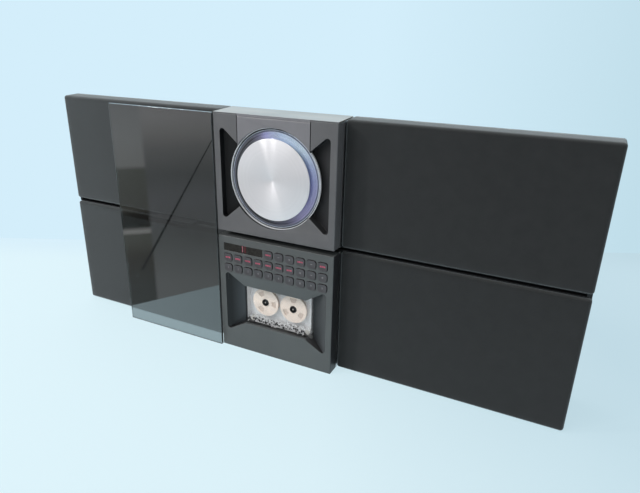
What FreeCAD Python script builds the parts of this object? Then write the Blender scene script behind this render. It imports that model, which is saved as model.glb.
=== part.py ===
# Slim upright disc, cassette and radio console with a speaker on each side of
# a centre unit and a sliding glass door, built as separate pieces.
# Millimetres. X runs to the right, Y runs away from the listener, Z is up.
# The origin is on the table, under the middle of the whole console.
import FreeCAD, Part

import math
import os
import re

import Sketcher
from FreeCAD import Rotation, Vector

doc = FreeCAD.newDocument("disc_radio_console")
sheet = doc.addObject("Spreadsheet::Sheet", "Sizes")

sizes = {
    # whole console
    "overall_width": 724.0,
    "top_rise": 2.5,
    "centre_width": 167.0,
    "centre_face": 46.5,
    "top_depth": 42.0,
    "speaker_setback": 18.5,
    "table_gap": 1.0,
    # groove that runs across the whole front at half height
    "centre_groove": 7.4,
    "speaker_groove": 5.5,
    # front panels
    "panel_skin": 2.2,
    "panel_depth": 18.0,
    "panel_corner": 1.2,
    "recess_margin": 8.8,
    "recess_corner": 4.0,
    "seam": 0.4,
    # disc and its well
    "disc_diameter": 120.0,
    "disc_hole": 15.0,
    "disc_thickness": 1.2,
    "disc_setback": 5.0,
    "well_clearance": 2.3,
    "well_sill": 12.8,
    "well_head": 13.2,
    "well_depth": 8.5,
    "wing_outer_half_height": 61.0,
    "wing_inner_half_height": 38.3,
    "wing_inner_half_width": 48.0,
    "wing_outer_depth": 9.0,
    "wing_inner_depth": 14.5,
    "wing_floor_half_width": 41.0,
    # clamp disc and the flap that carries it
    "clamp_diameter": 100.0,
    "clamp_thickness": 2.5,
    "clamp_proud": 1.0,
    "clamp_neck_radius": 5.0,
    "clamp_plate_radius": 13.0,
    "clamp_nose_radius": 4.6,
    "clamp_nose_length": 2.2,
    "flap_width": 98.6,
    "flap_thickness": 5.0,
    "flap_arm_width": 13.0,
    "flap_arm_thickness": 1.2,
    "flap_arm_setback": 1.9,
    "hinge_pin_radius": 1.0,
    "hinge_pin_length": 2.4,
    "running_gap": 0.3,
    "pin_clearance": 0.08,
    # turntable and laser
    "turntable_radius": 15.0,
    "turntable_thickness": 2.6,
    "turntable_boss_wall": 1.7,
    "turntable_boss_height": 0.9,
    "spindle_radius": 1.5,
    "sled_width": 34.0,
    "sled_height": 22.0,
    "sled_thickness": 7.0,
    "sled_inner_radius": 24.0,
    "sled_travel": 32.0,
    "lens_radius": 4.0,
    "lens_gap": 1.5,
    "rod_radius": 1.5,
    "rod_half_spacing": 13.0,
    "mechanism_plate": 2.0,
    "mechanism_setback": 19.5,
    # cassette and its bay
    "cassette_width": 100.4,
    "cassette_height": 63.8,
    "cassette_thickness": 8.7,
    "cassette_head_thickness": 12.0,
    "cassette_head_height": 11.5,
    "cassette_head_half_width": 34.0,
    "cassette_wall": 1.0,
    "cassette_corner": 2.0,
    "cassette_bottom": 38.0,
    "cassette_setback": 12.4,
    "hub_spacing": 42.5,
    "hub_height": 34.6,
    "hub_hole_radius": 5.6,
    "pack_radius": 18.5,
    "pack_thickness": 5.4,
    "reel_hub_radius": 5.2,
    "bay_depth": 14.0,
    "bay_head": 13.2,
    "bay_foot": 12.8,
    "bay_lip_over": 4.8,
    "bay_lip_under": 3.4,
    "bay_inner_half_width": 46.0,
    "bay_lip": 10.0,
    "pocket_clearance": 0.8,
    "head_travel": 4.0,
    # keypad and display
    "key_columns": 10,
    "key_side_margin": 6.5,
    "key_pitch_up": 14.4,
    "first_row_rise": 5.1,
    "last_row_drop": 18.8,
    "key_gap": 3.2,
    "key_height": 10.4,
    "key_corner": 3.0,
    "key_proud": 1.0,
    "key_flange": 0.8,
    "key_flange_thickness": 1.0,
    "key_stem": 4.0,
    "key_stem_length": 1.7,
    "key_travel": 1.0,
    "key_clearance": 0.35,
    "key_dish_radius": 24.0,
    "key_dish_depth": 0.5,
    "key_mat_thickness": 1.2,
    "window_overlap": 0.2,
    "window_height": 10.4,
    "window_thickness": 2.0,
    # sliding glass door and its drive
    "glass_width": 167.0,
    "glass_drop": 0.5,
    "glass_thickness": 4.0,
    "glass_lift": 1.5,
    "glass_gap": 2.5,
    "glass_edge": 0.4,
    "door_travel": 165.0,
    "rail_wall": 0.85,
    "rail_height": 5.1,
    "rail_front": 24.0,
    "rail_web": 3.0,
    "rail_end_margin": 6.0,
    "blade_thickness": 2.8,
    "blade_reach": 10.8,
    "blade_arm_half_width": 34.0,
    "rack_overrun": 12.0,
    "rack_tail": 5.0,
    "gear_module": 0.8,
    "pinion_teeth": 16,
    "motor_side_gap": 8.0,
    "gear_backlash": 0.3,
    "motor_radius": 11.5,
    "motor_length": 18.0,
    # speakers
    "cloth_thickness": 1.2,
    "cloth_corner": 5.0,
    "cloth_side_gap": 0.6,
    "frame_bar": 12.0,
    "frame_depth": 9.0,
    "baffle_thickness": 4.0,
    "woofer_radius": 52.0,
    "woofer_height": 84.0,
    "woofer_depth": 34.0,
    "magnet_radius": 30.0,
    "tweeter_radius": 20.0,
    "tweeter_drop": 76.0,
    "tweeter_depth": 14.0,
    # rear cabinet and what stands in it
    "cabinet_back": 53.0,
    "cabinet_inset": 8.0,
    "cabinet_drop": 14.0,
    "cabinet_shoulder": 200.0,
    "cabinet_crown": 8.0,
    "cabinet_wall": 3.0,
    "vent_width": 3.0,
    "vent_length": 34.0,
    "vent_pitch": 8.0,
    "vent_count": 14,
    "keyhole_spacing": 300.0,
    "keyhole_height": 176.0,
    "keyhole_radius": 4.5,
    "keyhole_slot": 4.8,
    "keyhole_rise": 12.0,
    "socket_width": 96.0,
    "socket_height": 32.0,
    "socket_bottom": 34.0,
    "socket_depth": 10.0,
    "screw_radius": 2.0,
    "screw_head_radius": 3.6,
    "screw_head_height": 2.2,
    "screw_seat_thickness": 6.0,
    "screw_pillar_radius": 5.5,
    "screw_end_margin": 14.0,
    # centre chassis and electronics
    "chassis_wall": 2.0,
    "chassis_flange": 5.0,
    "board_thickness": 1.6,
    "board_width": 140.0,
    "board_height": 110.0,
    "board_bottom": 80.0,
    "standoff_radius": 3.0,
    "cover_thickness": 1.8,
    "transformer_width": 66.0,
    "transformer_height": 56.0,
    "transformer_depth": 34.0,
    # smaller places and clearances
    "vent_rise": 22.0,
    "board_face": 20.0,
    "woofer_flange": 3.0,
    "tweeter_flange": 2.5,
    "shelf_front": 20.0,
    "shelf_gap": 4.0,
    "rod_holder": 4.0,
    "motor_entry": 5.0,
    "motor_post_circle": 10.2,
    "motor_post_radius": 1.2,
    "capstan_space": 6.0,
    "capstan_offset": 26.0,
    "capstan_rise": 7.0,
    "capstan_hole_radius": 3.2,
    "flywheel_radius": 8.6,
    "reel_spindle_radius": 2.5,
    "reel_table_radius": 12.0,
    "reel_table": 2.5,
    "head_half_width": 8.0,
    "head_depth": 6.0,
    "head_slot_half_width": 38.0,
    "head_slot_half_depth": 4.6,
    "head_link_half_width": 6.0,
    "bridge_height": 4.0,
    "edge_window_half_width": 6.0,
    "lip_height": 16.0,
    "lip_fall": 1.4,
    "mat_side_gap": 1.3,
    "mat_post_radius": 1.4,
    "carriage_pad": 1.4,
    "socket_plate": 1.5,
    "chip_depth": 4.0,
}

for row, (alias, amount) in enumerate(sizes.items(), start=1):
    sheet.set("A%d" % row, alias.replace("_", " "))
    sheet.set("B%d" % row, str(amount))
    sheet.setAlias("B%d" % row, alias)
doc.recompute()

# Sizes that follow from those in the sheet: the front is as tall as the cassette
# bay, the key rows, the groove and the disc well that stand above each other.
derived = {
    "bay_outer_bottom": "cassette_bottom - bay_foot",
    "bay_inner_bottom": "cassette_bottom + bay_lip_under",
    "bay_inner_top": "cassette_bottom + cassette_height - bay_lip_over",
    "bay_outer_top": "cassette_bottom + cassette_height + bay_head",
    "key_top_row": "bay_outer_top + first_row_rise + key_pitch_up * 2",
    "groove_middle": "key_top_row + last_row_drop",
    "well_radius": "disc_diameter / 2 + well_clearance",
    "disc_middle": "groove_middle + centre_groove / 2 + well_sill + well_radius",
    "front_height": "disc_middle + well_radius + well_head",
    "glass_height": "front_height - glass_lift - glass_drop",
    "cabinet_height": "front_height - cabinet_drop",
    "tweeter_height": "front_height - tweeter_drop",
    "recess_half_width": "centre_width / 2 - recess_margin",
    "mat_half_width": "centre_width / 2 - panel_skin - mat_side_gap",
    "key_pitch_across": "(centre_width - key_side_margin * 2) / key_columns",
    "key_width": "key_pitch_across - key_gap",
    "window_left": "key_pitch_across * (key_columns - 1) / 2 + key_width / 2 + window_overlap",
    "window_right": "key_pitch_across * (key_columns - 7) / 2 - key_width / 2 - window_overlap * 2",
    "pinion_position": "centre_width / 2 - chassis_wall - motor_radius - motor_side_gap",
    "rack_left": "pinion_position + rack_overrun",
    "rack_right": "door_travel - pinion_position + rack_tail",
}

alias_words = re.compile(r"\b(" + "|".join(sizes) + r")\b")
derived_words = re.compile(r"\b(" + "|".join(derived) + r")\b")


def spelled(text):
    # writes out the derived sizes, then points every word at its cell
    while derived_words.search(text):
        text = derived_words.sub(lambda found: "(" + derived[found.group(1)] + ")", text)
    return alias_words.sub(r"Sizes.\1", text)


def tie(thing, prop, text):
    # binds one property to an expression of the sheet's aliases
    thing.setExpression(prop, spelled(text))


def amount(text):
    # value of an expression of sizes
    return float(sheet.evalExpression(spelled(text)))


def place(thing, x, y, z):
    for axis, text in zip("xyz", (x, y, z)):
        tie(thing, "Placement.Base." + axis, text)


def block(name, xs, ys, zs):
    # box between two expressions on each axis
    box = doc.addObject("Part::Box", name)
    for prop, (low, high) in zip(("Length", "Width", "Height"), (xs, ys, zs)):
        tie(box, prop, "(%s) - (%s)" % (high, low))
    place(box, xs[0], ys[0], zs[0])
    return box


turns = {
    "x": Rotation(Vector(0, 1, 0), 90),
    "y": Rotation(Vector(1, 0, 0), -90),
    "z": Rotation(),
}


def rod(name, axis, start, end, across, radius):
    # cylinder along an axis from start to end; across holds the other two places in XYZ order
    cylinder = doc.addObject("Part::Cylinder", name)
    cylinder.Placement = FreeCAD.Placement(Vector(), turns[axis])
    tie(cylinder, "Radius", radius)
    tie(cylinder, "Height", "(%s) - (%s)" % (end, start))
    spot = list(across)
    spot.insert("xyz".index(axis), start)
    place(cylinder, *spot)
    return cylinder


def cone(name, axis, start, end, across, radius_start, radius_end):
    shape = doc.addObject("Part::Cone", name)
    shape.Placement = FreeCAD.Placement(Vector(), turns[axis])
    tie(shape, "Radius1", radius_start)
    tie(shape, "Radius2", radius_end)
    tie(shape, "Height", "(%s) - (%s)" % (end, start))
    spot = list(across)
    spot.insert("xyz".index(axis), start)
    place(shape, *spot)
    return shape


def cut(name, base, *tools):
    result = doc.addObject("Part::Cut", name)
    result.Base = base
    result.Tool = tools[0] if len(tools) == 1 else fuse(name + "_tools", *tools)
    return result


def fuse(name, *shapes):
    result = doc.addObject("Part::MultiFuse", name)
    result.Shapes = list(shapes)
    return result


def common(name, *shapes):
    result = doc.addObject("Part::MultiCommon", name)
    result.Shapes = list(shapes)
    return result


def group(name, *shapes):
    # several separate solids that share one node
    result = doc.addObject("Part::Compound", name)
    result.Links = list(shapes)
    return result


def outline_sketch(body, name, plane, points):
    # closed polygon on an origin plane, every corner bound to two expressions
    sketch = body.newObject("Sketcher::SketchObject", name + "_outline")
    origin_plane = [item for item in body.Origin.OriginFeatures if item.Role == plane + "_Plane"][0]
    sketch.AttachmentSupport = [(origin_plane, "")]
    sketch.MapMode = "FlatFace"
    count = len(points)
    start_radius = 50  # the corners start on a circle and move to their constraints
    ring = [Vector(start_radius * math.cos(2 * math.pi * i / count),
                   start_radius * math.sin(2 * math.pi * i / count), 0) for i in range(count)]
    for i in range(count):
        sketch.addGeometry(Part.LineSegment(ring[i], ring[(i + 1) % count]), False)
    for i in range(count):
        sketch.addConstraint(Sketcher.Constraint("Coincident", i, 2, (i + 1) % count, 1))
    for i, (across, up) in enumerate(points):
        for kind, text, start in (("DistanceX", across, ring[i].x), ("DistanceY", up, ring[i].y)):
            index = sketch.addConstraint(Sketcher.Constraint(kind, -1, 1, i, 1, start))
            tie(sketch, "Constraints[%d]" % index, text)
    return sketch


def prism(name, plane, points, low, high):
    # polygon padded from low to high along its plane's axis
    body = doc.addObject("PartDesign::Body", name)
    sketch = outline_sketch(body, name, plane, points)
    # the XZ plane faces -Y, so its pad starts at the high end
    tie(sketch, "AttachmentOffset.Base.z", "-(%s)" % high if plane == "XZ" else low)
    pad = body.newObject("PartDesign::Pad", name + "_pad")
    pad.Profile = sketch
    tie(pad, "Length", "(%s) - (%s)" % (high, low))
    body.Tip = pad
    return body


def edges_where(shape, test):
    # numbers of the edges whose middle point and direction pass a test
    found = []
    for number, edge in enumerate(shape.Edges, start=1):
        middle = edge.valueAt((edge.FirstParameter + edge.LastParameter) / 2)
        ends = edge.lastVertex().Point - edge.firstVertex().Point
        if ends.Length > 1e-6 and test(middle, ends.normalize()):
            found.append(number)
    return found


def rounded(name, base, radius, test):
    # fillets the edges of a finished shape that pass a test
    doc.recompute()
    result = doc.addObject("Part::Fillet", name)
    result.Base = base
    result.Edges = [(number, radius, radius) for number in edges_where(base.Shape, test)]
    base.Visibility = False
    return result


def along(axis):
    index = "xyz".index(axis)
    return lambda middle, way: abs(way[index]) > 0.99


sub_parts = {}


def node(label, thing):
    thing.Label = label
    sub_parts[label] = thing
    return thing


def turned(name, points, axis, spot):
    # (radius, along) outline revolved about its own axis, then laid along a row axis at a spot
    body = doc.addObject("PartDesign::Body", name)
    sketch = outline_sketch(body, name, "XZ", points)
    revolution = body.newObject("PartDesign::Revolution", name + "_turn")
    revolution.Profile = sketch
    revolution.ReferenceAxis = (sketch, ["V_Axis"])
    revolution.Angle = 360
    body.Tip = revolution
    body.Placement = FreeCAD.Placement(Vector(), turns[axis])
    place(body, *spot)
    return body


# Places that several pieces share, as expressions of the sheet.
half = "centre_width / 2"
wide = "overall_width / 2"
face = "-centre_face"
skin = face + " + panel_skin"
cloth = face + " + speaker_setback"
ridge = face + " + top_depth"
panel_back = face + " + panel_depth"
well_floor = face + " + well_depth"
disc_front = face + " + disc_setback"
disc_back = disc_front + " + disc_thickness"
upper_bottom = "groove_middle + centre_groove / 2"
lower_top = "groove_middle - centre_groove / 2"
under_cover = "front_height - cover_thickness"
mechanism_face = face + " + mechanism_setback"
baffle_front = ridge + " - baffle_thickness"
screw_seat = ridge + " + screw_seat_thickness"
speaker_top = "front_height + top_rise * speaker_setback / top_depth"
hinge_height = under_cover + " - seam - flap_thickness / 2"
hinge_depth = face + " + flap_thickness / 2"
arm_front = disc_front + " - flap_arm_setback - flap_arm_thickness"
arm_back = disc_front + " - flap_arm_setback"
sled_front = well_floor + " + panel_skin + seam"
sled_middle = "disc_middle - sled_inner_radius"
rod_depth = sled_front + " + sled_thickness * 0.55"
rod_high = sled_middle + " + sled_height / 2 + 1.5"
rod_low = sled_middle + " - sled_travel - sled_height / 2 - 1 - rod_holder"


# Rear cabinet: one moulded tray, open to the front, with two walls that close
# the speaker chambers, vent slots, two wall keyholes and a socket opening.
def cabinet_outline(name):
    width = "overall_width / 2 - cabinet_inset"
    return prism(name, "YZ", [
        (ridge, "0"),
        ("cabinet_back", "0"),
        ("cabinet_back", "cabinet_shoulder"),
        ("cabinet_crown", "cabinet_height"),
        (ridge, "cabinet_height"),
    ], "-(%s)" % width, width)


def screw_places():
    across = ("-(%s) + cabinet_inset + screw_end_margin" % wide, "-(%s) - screw_end_margin" % half,
              "%s + screw_end_margin" % half, "%s - cabinet_inset - screw_end_margin" % wide)
    return [(x, z) for x in across for z in ("screw_end_margin", "cabinet_shoulder - screw_end_margin")]


def board_corners():
    return [(x, z) for x in ("-board_width / 2 + 6", "board_width / 2 - 6")
            for z in ("board_bottom + 6", "board_bottom + board_height - 6")]


def rear_cabinet():
    width = "overall_width / 2 - cabinet_inset - cabinet_wall"
    hollow = prism("cabinet_hollow", "YZ", [
        (ridge + " - 1", "cabinet_wall"),
        ("cabinet_back - cabinet_wall", "cabinet_wall"),
        ("cabinet_back - cabinet_wall", "cabinet_shoulder - cabinet_wall"),
        ("cabinet_crown - cabinet_wall", "cabinet_height - cabinet_wall"),
        (ridge + " - 1", "cabinet_height - cabinet_wall"),
    ], "-(%s)" % width, width)
    tray = cut("cabinet_tray", cabinet_outline("cabinet_shell"), hollow)
    inner_parts = []
    for side, sign in (("left", "-"), ("right", "")):
        inner_parts.append(block(
            side + "_chamber_wall",
            ("%s(%s) - cabinet_wall / 2" % (sign, half), "%s(%s) + cabinet_wall / 2" % (sign, half)),
            (ridge, "cabinet_back - cabinet_wall / 2"),
            ("cabinet_wall / 2", "cabinet_height - cabinet_wall / 2")))
    for index, (x, z) in enumerate(screw_places()):
        inner_parts.append(rod("screw_pillar_%d" % index, "y", ridge, "cabinet_back - cabinet_wall / 2",
                               (x, z), "screw_pillar_radius"))
    for index, (x, z) in enumerate(board_corners()):
        inner_parts.append(rod("board_pillar_%d" % index, "y", "board_face + board_thickness",
                               "cabinet_back - cabinet_wall / 2", (x, z), "standoff_radius"))
    inside = common("cabinet_inside", fuse("cabinet_inner_parts", *inner_parts),
                    cabinet_outline("cabinet_limit"))
    openings = []
    for index in range(int(sizes["vent_count"])):
        middle = "vent_pitch * %.1f" % (index - (sizes["vent_count"] - 1) / 2)
        openings.append(block("vent_%02d" % index,
                              (middle + " - vent_width / 2", middle + " + vent_width / 2"),
                              ("cabinet_crown - 6", "cabinet_back + 4"),
                              ("cabinet_shoulder + vent_rise", "cabinet_shoulder + vent_rise + vent_length")))
    back_wall = ("cabinet_back - cabinet_wall - 1", "cabinet_back + 1")
    for side, sign in (("left", "-"), ("right", "")):
        middle = sign + "keyhole_spacing / 2"
        openings.append(rod(side + "_keyhole", "y", *back_wall, (middle, "keyhole_height"), "keyhole_radius"))
        openings.append(block(side + "_keyhole_slot",
                              (middle + " - keyhole_slot / 2", middle + " + keyhole_slot / 2"),
                              back_wall, ("keyhole_height", "keyhole_height + keyhole_rise")))
    openings.append(block("socket_opening", ("-socket_width / 2", "socket_width / 2"),
                          back_wall, ("socket_bottom", "socket_bottom + socket_height")))
    for index, (x, z) in enumerate(screw_places()):
        openings.append(rod("screw_hole_%d" % index, "y", ridge + " - 1", screw_seat + " + 1",
                            (x, z), "screw_radius + pin_clearance"))
        openings.append(rod("screw_well_%d" % index, "y", screw_seat, "cabinet_back + 1",
                            (x, z), "screw_head_radius + running_gap"))
    node("rear_cabinet", cut("cabinet_open", fuse("cabinet_whole", tray, inside), *openings))


# Screws that hold the cabinet to the speaker baffles, at the ends of deep wells
# in its back.
def cabinet_screws():
    pieces = []
    cross = (screw_seat + " + screw_head_height / 2", screw_seat + " + screw_head_height + 1")
    for index, (x, z) in enumerate(screw_places()):
        shank = rod("screw_shank_%d" % index, "y", baffle_front + " + running_gap", screw_seat,
                    (x, z), "screw_radius")
        head = cone("screw_head_%d" % index, "y", screw_seat, screw_seat + " + screw_head_height",
                    (x, z), "screw_head_radius", "screw_head_radius * 0.7")
        long_side = "screw_head_radius * 0.5"
        short_side = "screw_head_radius * 0.12"
        slots = [block("screw_%s_%d" % (word, index),
                       ("%s - %s" % (x, reach_x), "%s + %s" % (x, reach_x)), cross,
                       ("%s - %s" % (z, reach_z), "%s + %s" % (z, reach_z)))
                 for word, reach_x, reach_z in (("slot", long_side, short_side),
                                                ("cross", short_side, long_side))]
        pieces.append(cut("screw_%d" % index, fuse("screw_body_%d" % index, shank, head), *slots))
    node("cabinet_screws", group("screw_set", *pieces))


# Speaker side: a baffle with its drive units, then two cloth-covered frames in
# front of it with the groove between them.
speaker_inner = half + " + cloth_side_gap"
speaker_middle = "(%s + %s) / 2" % (half, wide)


def speaker_span(sign, inset):
    low = speaker_inner + " + " + inset
    high = wide + " - (" + inset + ")"
    return (low, high) if sign == "" else ("-(%s)" % high, "-(%s)" % low)


def speaker_halves():
    return (("lower", "table_gap", "groove_middle - speaker_groove / 2"),
            ("upper", "groove_middle + speaker_groove / 2", speaker_top))


def speaker_baffles():
    pieces = []
    edge = "cloth_thickness + running_gap"
    for side, sign in (("left", "-"), ("right", "")):
        plate = block(side + "_baffle_plate", speaker_span(sign, edge), (baffle_front, ridge),
                      ("table_gap + " + edge, "front_height - (%s)" % edge))
        middle = "%s(%s)" % (sign, speaker_middle)
        holes = [rod("%s_%s_hole" % (side, word), "y", baffle_front + " - 1", ridge + " + 1",
                     (middle, height), radius)
                 for word, height, radius in (("woofer", "woofer_height", "woofer_radius - 5"),
                                              ("tweeter", "tweeter_height", "tweeter_radius - 5"))]
        holes += [rod("%s_baffle_screw_hole_%d" % (side, index), "y", baffle_front + " - 1", ridge + " + 1",
                      (x, z), "screw_radius + pin_clearance")
                  for index, (x, z) in enumerate(screw_places()) if x.startswith("-") == (sign == "-")]
        soft_plate = rounded(side + "_baffle_soft", plate, sizes["cloth_corner"] - sizes["cloth_thickness"],
                             corner_edges)
        pieces.append(cut(side + "_baffle", soft_plate, *holes))
    node("speaker_baffles", group("baffle_set", *pieces))


def drive_units():
    woofer = [
        ("0", "woofer_flange * 3"),
        ("woofer_radius * 0.24", "woofer_flange * 4"),
        ("woofer_radius * 0.84", "woofer_flange * 0.3"),
        ("woofer_radius * 0.88", "0"),
        ("woofer_radius", "0"),
        ("woofer_radius", "woofer_flange"),
        ("woofer_radius - 6", "woofer_flange"),
        ("magnet_radius", "woofer_depth * 0.6"),
        ("magnet_radius", "woofer_depth"),
        ("0", "woofer_depth"),
    ]
    tweeter = [
        ("0", "tweeter_flange * 0.2"),
        ("tweeter_radius * 0.3", "tweeter_flange * 0.4"),
        ("tweeter_radius * 0.5", "tweeter_flange * 1.2"),
        ("tweeter_radius * 0.75", "0"),
        ("tweeter_radius", "0"),
        ("tweeter_radius", "tweeter_flange"),
        ("tweeter_radius - 6", "tweeter_flange"),
        ("tweeter_radius - 6", "tweeter_depth"),
        ("0", "tweeter_depth"),
    ]
    for word, outline, height in (("woofer", woofer, "woofer_height"),
                                  ("tweeter", tweeter, "tweeter_height")):
        units = [turned("%s_%s" % (side, word), outline, "y",
                        ("%s(%s)" % (sign, speaker_middle), baffle_front + " - %s_flange" % word, height))
                 for side, sign in (("left", "-"), ("right", ""))]
        node(word + "s", group(word + "_set", *units))


def grille_frames():
    pieces = []
    edge = "cloth_thickness + running_gap"
    front = cloth + " + " + edge
    for side, sign in (("left", "-"), ("right", "")):
        for level, low, high in speaker_halves():
            name = "%s_%s_frame" % (side, level)
            top = high if level == "lower" else "front_height"
            across = speaker_span(sign, edge)
            slab = block(name + "_slab", across, (front, baffle_front),
                         ("%s + %s" % (low, edge), "%s - (%s)" % (top, edge)))
            soft_slab = rounded(name + "_soft", slab, sizes["cloth_corner"] - sizes["cloth_thickness"],
                                front_edges(sizes["cloth_thickness"] + sizes["running_gap"]))
            middle = "%s(%s)" % (sign, speaker_middle)
            inner_z = ("%s + %s + frame_bar" % (low, edge), "%s - (%s) - frame_bar" % (top, edge))
            windows = [
                block(name + "_window_a", (across[0] + " + frame_bar", middle + " - frame_bar / 2"),
                      (front + " - 1", baffle_front + " + 1"), inner_z),
                block(name + "_window_b", (middle + " + frame_bar / 2", across[1] + " - frame_bar"),
                      (front + " - 1", baffle_front + " + 1"), inner_z),
                block(name + "_bar_relief", (across[0] + " + frame_bar", across[1] + " - frame_bar"),
                      (front + " + frame_depth", baffle_front + " + 1"), inner_z),
            ]
            pieces.append(cut(name, soft_slab, *windows))
    node("grille_frames", group("frame_set", *pieces))


def front_edges(inset):
    # edges round the front of a speaker piece, and the corner edges that run back from them
    plane = -sizes["centre_face"] + sizes["speaker_setback"] + inset
    return lambda middle, way: abs(middle.y - plane) < 0.01 or abs(way.y) > 0.9


def corner_edges(middle, way):
    return abs(way.y) > 0.9


def cloth_solid(name, sign, low, high_front, high_back, inset, radius):
    # one half's outer form, drawn in by an inset for the hollow behind the cloth
    across = speaker_span(sign, inset)
    back = ridge if inset == "0" else ridge + " + 1"
    front = "%s + %s" % (cloth, inset)
    form = prism(name, "YZ", [
        (front, "%s + %s" % (low, inset)),
        (back, "%s + %s" % (low, inset)),
        (back, "%s - (%s)" % (high_back, inset)),
        (front, "%s - (%s)" % (high_front, inset)),
    ], *across)
    return rounded(name + "_soft", form, radius, front_edges(0 if inset == "0" else sizes["cloth_thickness"]))


def grille_cloth():
    for side, sign in (("left", "-"), ("right", "")):
        caps = []
        # the cloth is cut away along the groove where it meets the baffle
        seat = block(side + "_baffle_seat", speaker_span(sign, "cloth_thickness"),
                     (baffle_front + " - running_gap", ridge + " + 1"),
                     ("table_gap + cloth_thickness", "front_height - cloth_thickness"))
        soft_seat = rounded(side + "_baffle_seat_soft", seat,
                            sizes["cloth_corner"] - sizes["cloth_thickness"], corner_edges)
        for level, low, high in speaker_halves():
            back = high if level == "lower" else "front_height + top_rise"
            name = "%s_%s_cloth" % (side, level)
            outer = cloth_solid(name + "_outer", sign, low, high, back, "0", sizes["cloth_corner"])
            hollow = cloth_solid(name + "_hollow", sign, low, high, back, "cloth_thickness",
                                 sizes["cloth_corner"] - sizes["cloth_thickness"])
            caps.append(cut(name, outer, hollow, soft_seat))
        node(side + "_grille_cloth", group(side + "_cloth_pair", *caps))


# Centre chassis: a tube that stands behind both front panels, with a flange at
# the back, a shelf for the door motor and a slot that lets the rail through.
def centre_chassis():
    inner = half + " - chassis_wall"
    tube = block("chassis_tube", ("-(%s)" % half, half), (panel_back, ridge), ("0", under_cover))
    hollow = block("chassis_hollow", ("-(%s)" % inner, inner),
                   (panel_back + " - 1", ridge + " - chassis_wall"),
                   ("chassis_wall", under_cover + " - chassis_wall"))
    mouth = block("chassis_mouth", ("-(%s) + chassis_flange" % inner, inner + " - chassis_flange"),
                  (ridge + " - chassis_wall - 1", ridge + " + 1"),
                  ("chassis_wall + chassis_flange", "cabinet_height - cabinet_wall - chassis_flange"))
    shelf = block("door_motor_shelf", ("-(%s)" % inner, inner), ("-shelf_front", ridge + " - chassis_wall"),
                  (shelf_top + " - chassis_wall", shelf_top))
    slot = block("rail_slot", ("-(%s) - 1" % half, half + " + 1"),
                 (panel_back + " - 1", baffle_front + " + running_gap"),
                 ("groove_middle - rail_height / 2 - running_gap",
                  "groove_middle + rail_height / 2 + running_gap"))
    shaft_hole = rod("door_shaft_hole", "z", shelf_top + " - chassis_wall - 1", shelf_top + " + 1",
                     ("-pinion_position", pinion_depth), "spindle_radius + pin_clearance")
    frame = fuse("chassis_frame", cut("chassis_shell", tube, hollow, mouth), shelf)
    node("centre_chassis", cut("chassis", frame, slot, shaft_hole))


def top_cover():
    node("top_cover", prism("cover", "YZ", [
        (face, under_cover),
        (face, "front_height"),
        (ridge, "front_height + top_rise"),
        (ridge, under_cover + " + top_rise"),
    ], "-(%s)" % half, half))


# Disc panel: skin and skirt, with a round well for the disc, a finger recess
# on each side of it and a shallow seat for the hinged flap above it.
def wing(name, sign, grow):
    # finger recess: a tapering outline from the front, and a floor that falls towards the disc
    out = "%s(recess_half_width + %s)" % (sign, grow)
    knee = "%s(wing_inner_half_width)" % sign
    floor_edge = "%s(wing_floor_half_width - %s)" % (sign, grow)
    outline = prism(name + "_outline", "XZ", [
        (out, "disc_middle + wing_outer_half_height + %s * 2" % grow),
        (knee, "disc_middle + wing_inner_half_height + %s * 1.4" % grow),
        (floor_edge, "disc_middle + wing_inner_half_height + %s * 1.4" % grow),
        (floor_edge, "disc_middle - wing_inner_half_height - %s * 1.4" % grow),
        (knee, "disc_middle - wing_inner_half_height - %s * 1.4" % grow),
        (out, "disc_middle - wing_outer_half_height - %s * 2" % grow),
    ], face if grow != "0" else face + " - 1", face + " + wing_inner_depth + %s" % grow)
    reach = amount("recess_half_width") - 2
    soft = rounded(name + "_soft", outline, sizes["recess_corner"],
                   lambda middle, way: abs(way.y) > 0.9 and abs(middle.x) > reach)
    floor = prism(name + "_floor", "XY", [
        (out, face + " - 2"),
        (out, face + " + wing_outer_depth + %s" % grow),
        ("%s(wing_inner_half_width + 2)" % sign, face + " + wing_inner_depth + %s" % grow),
        (floor_edge, face + " + wing_inner_depth + %s" % grow),
        (floor_edge, face + " - 2"),
    ], upper_bottom, under_cover)
    return common(name, soft, floor)


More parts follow.
